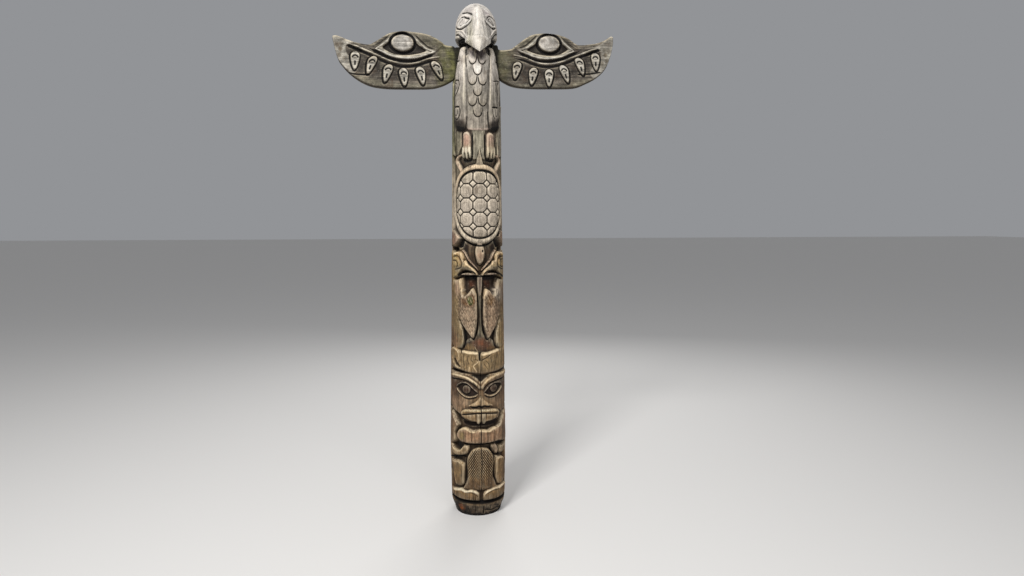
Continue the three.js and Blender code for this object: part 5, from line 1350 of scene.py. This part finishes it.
def buildWing(name, sizes):
    # A board: at each station out from the log a closed loop, z from the lower outline to the upper one
    # and y half the thickness, less the rounding near the rim and plus the lift in front
    bottomPath, topPath = smoothed(sizes["bottom"], False), smoothed(sizes["top"], False)
    up = np.arange(-186, 216, wing["sheetStep"])
    sheet = newSheet(np.arange(88, 912, wing["sheetStep"]), up, np.ones(len(up)))
    sheet["tint"][:] = tone(wing["field"])
    carveWing(sheet, sizes)
    for x, z, lean in sizes["feathers"]:
        featherEnd(sheet, x, z, lean)
    seed = sizes["seed"]
    grain = ripple(sheet, 160, 3.4, seed) * 0.6 + ripple(sheet, 300, 8, seed + 1) * 0.4
    sheet["lift"] += 0.6 * grain + 0.8 * ripple(sheet, 30, 26, seed + 2)
    patch = np.clip(1.25 - (sheet["across"] - 150) / 90 + 0.4 * ripple(sheet, 30, 34, seed + 3), 0, 1)
    sheet["tint"] += (tone(wing["moss"]) - sheet["tint"]) * (0.85 * (patch * sizes["mossy"]))[..., None]
    smoky = 0.5 + 0.5 * ripple(sheet, 70, 50, seed + 7) + 0.5 * ripple(sheet, 24, 20, seed + 8)
    sheet["tint"] *= (1 - 0.45 * np.clip(smoky, 0, 1))[..., None]
    # Painted shadow on the board beside the log, wider towards the top where the head overhangs
    shaded = np.interp(sheet["upward"], [40, 100], [148, 166])
    sheet["stain"] = np.maximum(sheet["stain"], np.clip((shaded - sheet["across"]) / 18, 0, 1) * 0.9)
    chance = np.random.default_rng(seed + 5)
    for _ in range(wing["shortChecks"]):
        x, z, run = chance.uniform(180, 840), chance.uniform(-130, 130), chance.uniform(40, 160)
        check = [(x, z), (x + run / 2, z + chance.uniform(-3, 3)), (x + run, z + chance.uniform(-4, 4))]
        cut(sheet, check, 3.5, 1.2, stain=0.3)
    stations = np.concatenate([np.arange(96, 889, wing["step"]), [890.0, 893.0, 895.5, 897.0]])
    stations = stations[stations <= min(topPath[:, 0].max(), bottomPath[:, 0].max())]
    low, high = [np.interp(stations, path[:, 0], path[:, 1]) for path in (bottomPath, topPath)]
    front = np.linspace(0, 1, wing["frontSamples"])
    back = np.linspace(1, 0, wing["backSamples"])
    t = np.concatenate([front, back])[None, :]
    z = low[:, None] + (high - low)[:, None] * t
    x = np.repeat(stations[:, None], t.shape[1], axis=1)
    rim = np.minimum(np.minimum(z - low[:, None], high[:, None] - z), (stations[-1] - x))
    rounding = wing["rounding"]
    inset = rounding * (1 - np.sqrt(1 - (1 - np.clip(rim / rounding, 0, 1)) ** 2))
    inset[x < 130] = 0
    half = wing["thickness"] / 2
    lift = sampled(sheet, sheet["lift"], x.ravel(), z.ravel()).reshape(x.shape)
    calm = np.clip(rim / 6, 0, 1)
    calm[x < 136] = 0
    isFront = np.arange(t.shape[1])[None, :] < wing["frontSamples"]
    y = np.where(isFront, -(half - inset + lift * calm), half - inset)
    height = eagleFoot + sizes["rise"] + z - drawnMiddle
    points = np.stack([sizes["side"] * x, y, height], axis=2).reshape(-1, 3)
    rows, columns = x.shape
    centres = [points[:columns].mean(0), points[-columns:].mean(0)]
    faces = tubeFaces(rows, columns, flipped=sizes["side"] > 0)
    piece = meshPiece(name, np.concatenate([points, centres]), faces)
    place = vertexPlaces(piece)
    u, v = np.abs(place[:, 0]), place[:, 2] - eagleFoot - sizes["rise"] + drawnMiddle
    paintedShade, edge = shadeAndWearFields(sheet, wing["sheetStep"], wing["sheetStep"])
    tint, stain, paintedShade, edge = [sampled(sheet, f, u, v) for f in (sheet["tint"], sheet["stain"], paintedShade,
            edge)]
    # The upper rim of the board gets a painted highlight, the lower rim painted shade
    fromTop, fromFoot = np.interp(u, stations, high) - v, v - np.interp(u, stations, low)
    edge = np.maximum(edge, np.clip(1.5 - fromTop / 11, 0, 1))
    edge[stain > 0.5] = 0
    paintedShade = np.maximum(paintedShade, np.clip(1.5 - fromFoot / 10, 0, 1) * 0.95)
    plain = place[:, 1] > 0
    tint[plain] = tone(wing["back"])
    stain[plain], paintedShade[plain], edge[plain] = 0, 0, 0
    paintPiece(piece, tint, stain, paintedShade, edge)
    return piece


wingPieces = {name: buildWing(name, sizes) for name, sizes in wingSides.items()}
print("wings", [len(piece.data.polygons) for piece in wingPieces.values()])


# Weathered wood: grain along one axis, grey and green blotches, painted shade in hollows and cuts, and
# painted highlights on edges that are also worn
class Graph:
    # Short ways to add nodes to a material

    def __init__(self, name):
        self.material = bpy.data.materials.new(name)
        self.material.use_nodes = True
        self.tree = self.material.node_tree
        self.shader = self.tree.nodes["Principled BSDF"]

    def node(self, kind, inputs=None, **settings):
        # A node with its settings and inputs; an input may be a value or another node's output
        made = self.tree.nodes.new(kind)
        for key, value in settings.items():
            setattr(made, key, value)
        for key, value in (inputs or {}).items():
            self.feed(made.inputs[key], value)
        return made

    def feed(self, socket, value):
        if isinstance(value, bpy.types.NodeSocket):
            self.tree.links.new(value, socket)
        else:
            socket.default_value = value

    def math(self, operation, a, b=0.0, c=0.0, clamp=False):
        return self.node("ShaderNodeMath", {0: a, 1: b, 2: c}, operation=operation,
                         use_clamp=clamp).outputs[0]

    def mix(self, factor, a, b, kind="MIX"):
        made = self.node("ShaderNodeMix", {0: factor}, data_type="RGBA", blend_type=kind)
        self.feed(made.inputs[6], a)
        self.feed(made.inputs[7], b)
        return made.outputs[2]

    def ramp(self, value, low, high):
        # 0 below low and 1 above high, eased between
        return self.node("ShaderNodeMapRange", {"Value": value, "From Min": low, "From Max": high},
                         interpolation_type="SMOOTHSTEP").outputs[0]

    def noise(self, place, scale, detail=4.0, rough=0.55):
        return self.node("ShaderNodeTexNoise", {"Vector": place, "Scale": scale, "Detail": detail,
                "Roughness": rough}).outputs["Fac"]


def linear(text):
    return (*tone(text), 1.0)


wood = {
    "lichen": "979078",
    "damp": "4a3624",
    "chalk": "d8d2c2",
    "fleck": "2b2119",
    "litAndWornEdge": "f0dfbe",
    "hollowShadeTint": "1f150d",
    "cut": "080504",
}


def weatheredWood(name, stretch):
    # stretch is how many times finer the pattern is across the grain than along it, for each axis
    g = Graph(name)
    place = g.node("ShaderNodeTexCoord").outputs["Object"]
    along = g.node("ShaderNodeMapping", {"Vector": place, "Scale": stretch}).outputs[0]
    tint = g.node("ShaderNodeAttribute", attribute_name="tint").outputs["Color"]
    shadeAndWear = g.node("ShaderNodeSeparateColor", {0: g.node("ShaderNodeAttribute",
            attribute_name="shadeAndWear").outputs["Color"]})
    stain, paintedShade, edge = shadeAndWear.outputs
    streak = g.ramp(g.noise(along, 3.2, 4.0, 0.6), 0.32, 0.68)
    fibre = g.ramp(g.noise(along, 9.0, 6.0, 0.65), 0.30, 0.70)
    fine = g.noise(along, 26.0, 4.0, 0.6)
    blotch = g.noise(place, 14.0, 5.0, 0.62)
    mottle = g.ramp(g.noise(place, 38.0, 5.0, 0.65), 0.33, 0.67)
    speck = g.noise(place, 110.0, 3.0, 0.6)
    streaks = g.math("MULTIPLY_ADD", streak, 0.62, 0.60)
    shade = g.math("MULTIPLY", g.math("MULTIPLY_ADD", fibre, 0.62, 0.58), streaks)
    shade = g.math("MULTIPLY", shade, g.math("MULTIPLY_ADD", mottle, 0.56, 0.66))
    # Bleached wood shows its grain less
    pale = g.math("MULTIPLY", g.ramp(g.node("ShaderNodeRGBToBW", {0: tint}).outputs[0], 0.36, 0.66), 0.6)
    shade = g.math("MULTIPLY_ADD", g.math("SUBTRACT", 0.9, shade), pale, shade)
    colour = g.mix(1.0, tint, g.node("ShaderNodeCombineColor", {0: shade, 1: shade, 2: shade}).outputs[0],
                   "MULTIPLY")
    litAndWornEdge = g.mix(0.5, linear(wood["litAndWornEdge"]), tint)
    # Layers in turn: lichen and damp blotches, chalky specks, dark flecks of grain, a painted highlight on
    # edges that are also worn, painted shade in hollows and under slopes, and painted shade and stain in the
    # cuts
    for mask, amount, layer in (
            (g.ramp(blotch, 0.54, 0.70), 0.22, linear(wood["lichen"])),
            (g.ramp(blotch, 0.47, 0.30), 0.45, linear(wood["damp"])),
            (g.ramp(speck, 0.60, 0.74), 0.22, linear(wood["chalk"])),
            (g.ramp(fine, 0.44, 0.30), 0.65, linear(wood["fleck"])),
            (g.math("MULTIPLY", edge, g.ramp(fibre, 0.1, 0.7)), 0.8, litAndWornEdge),
            (paintedShade, 0.85, linear(wood["hollowShadeTint"])),
            (stain, 0.98, linear(wood["cut"]))):
        colour = g.mix(g.math("MULTIPLY", mask, amount), colour, layer)
    g.feed(g.shader.inputs["Base Color"], colour)
    g.feed(g.shader.inputs["Roughness"], g.math("MULTIPLY_ADD", fine, 0.2, 0.72))
    g.shader.inputs["Specular IOR Level"].default_value = 0.3
    height = g.math("ADD", g.math("MULTIPLY", fibre, 0.35), g.math("MULTIPLY", fine, 0.5))
    height = g.math("ADD", height, g.math("MULTIPLY", speck, 0.15))
    bump = g.node("ShaderNodeBump", {"Height": height, "Strength": 0.6, "Distance": 0.003}).outputs[0]
    g.feed(g.shader.inputs["Normal"], bump)
    return g.material


logWood = weatheredWood("weathered_log", (14.0, 14.0, 0.8))
boardWood = weatheredWood("weathered_board", (0.9, 8.0, 14.0))
polePiece.data.materials.append(logWood)
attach(polePiece, "root")
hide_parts("pole")
for name, piece in wingPieces.items():
    piece.data.materials.append(boardWood)
    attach(piece, "root")
    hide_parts(wingSides[name]["node"])


# Floor and soft studio light
studio = {
    "floorReach": 60.0,
    "floorColour": (0.80, 0.78, 0.75, 1.0),
    "floorRoughness": 0.9,
    "aim": (0.0, 0.0, 1.8),
    "sky": (0.80, 0.82, 0.86, 1.0),
    "skyStrength": 0.36,
}
floorMesh = bpy.data.meshes.new("floor")
reach = studio["floorReach"]
floorMesh.from_pydata([(-reach, -reach, 0), (reach, -reach, 0), (reach, reach, 0), (-reach, reach, 0)], [],
                      [(0, 1, 2, 3)])
floor = bpy.data.objects.new("floor", floorMesh)
scene.collection.objects.link(floor)
floorGraph = Graph("floor")
floorGraph.shader.inputs["Base Color"].default_value = studio["floorColour"]
floorGraph.shader.inputs["Roughness"].default_value = studio["floorRoughness"]
floorMesh.materials.append(floorGraph.material)

lamps = {
    "key": {"place": (-2.4, -4.2, 6.4), "size": 1.6, "power": 360.0},
    "front": {"place": (1.8, -5.5, 3.2), "size": 3.0, "power": 70.0},
    "back": {"place": (1.5, 4.5, 4.5), "size": 3.0, "power": 110.0},
}
for name, lamp in lamps.items():
    light = bpy.data.lights.new(name, "AREA")
    light.energy = lamp["power"]
    light.size = lamp["size"]
    holder = bpy.data.objects.new(name, light)
    holder.location = lamp["place"]
    aim = np.array(studio["aim"]) - np.array(lamp["place"])
    flat = math.hypot(aim[0], aim[1])
    holder.rotation_euler = (math.atan2(flat, -aim[2]), 0.0, math.atan2(-aim[0], aim[1]))
    scene.collection.objects.link(holder)
world = bpy.data.worlds.new("studio")
world.use_nodes = True
background = world.node_tree.nodes["Background"]
background.inputs["Color"].default_value = studio["sky"]
background.inputs["Strength"].default_value = studio["skyStrength"]
scene.world = world
scene.view_settings.view_transform = "Standard"
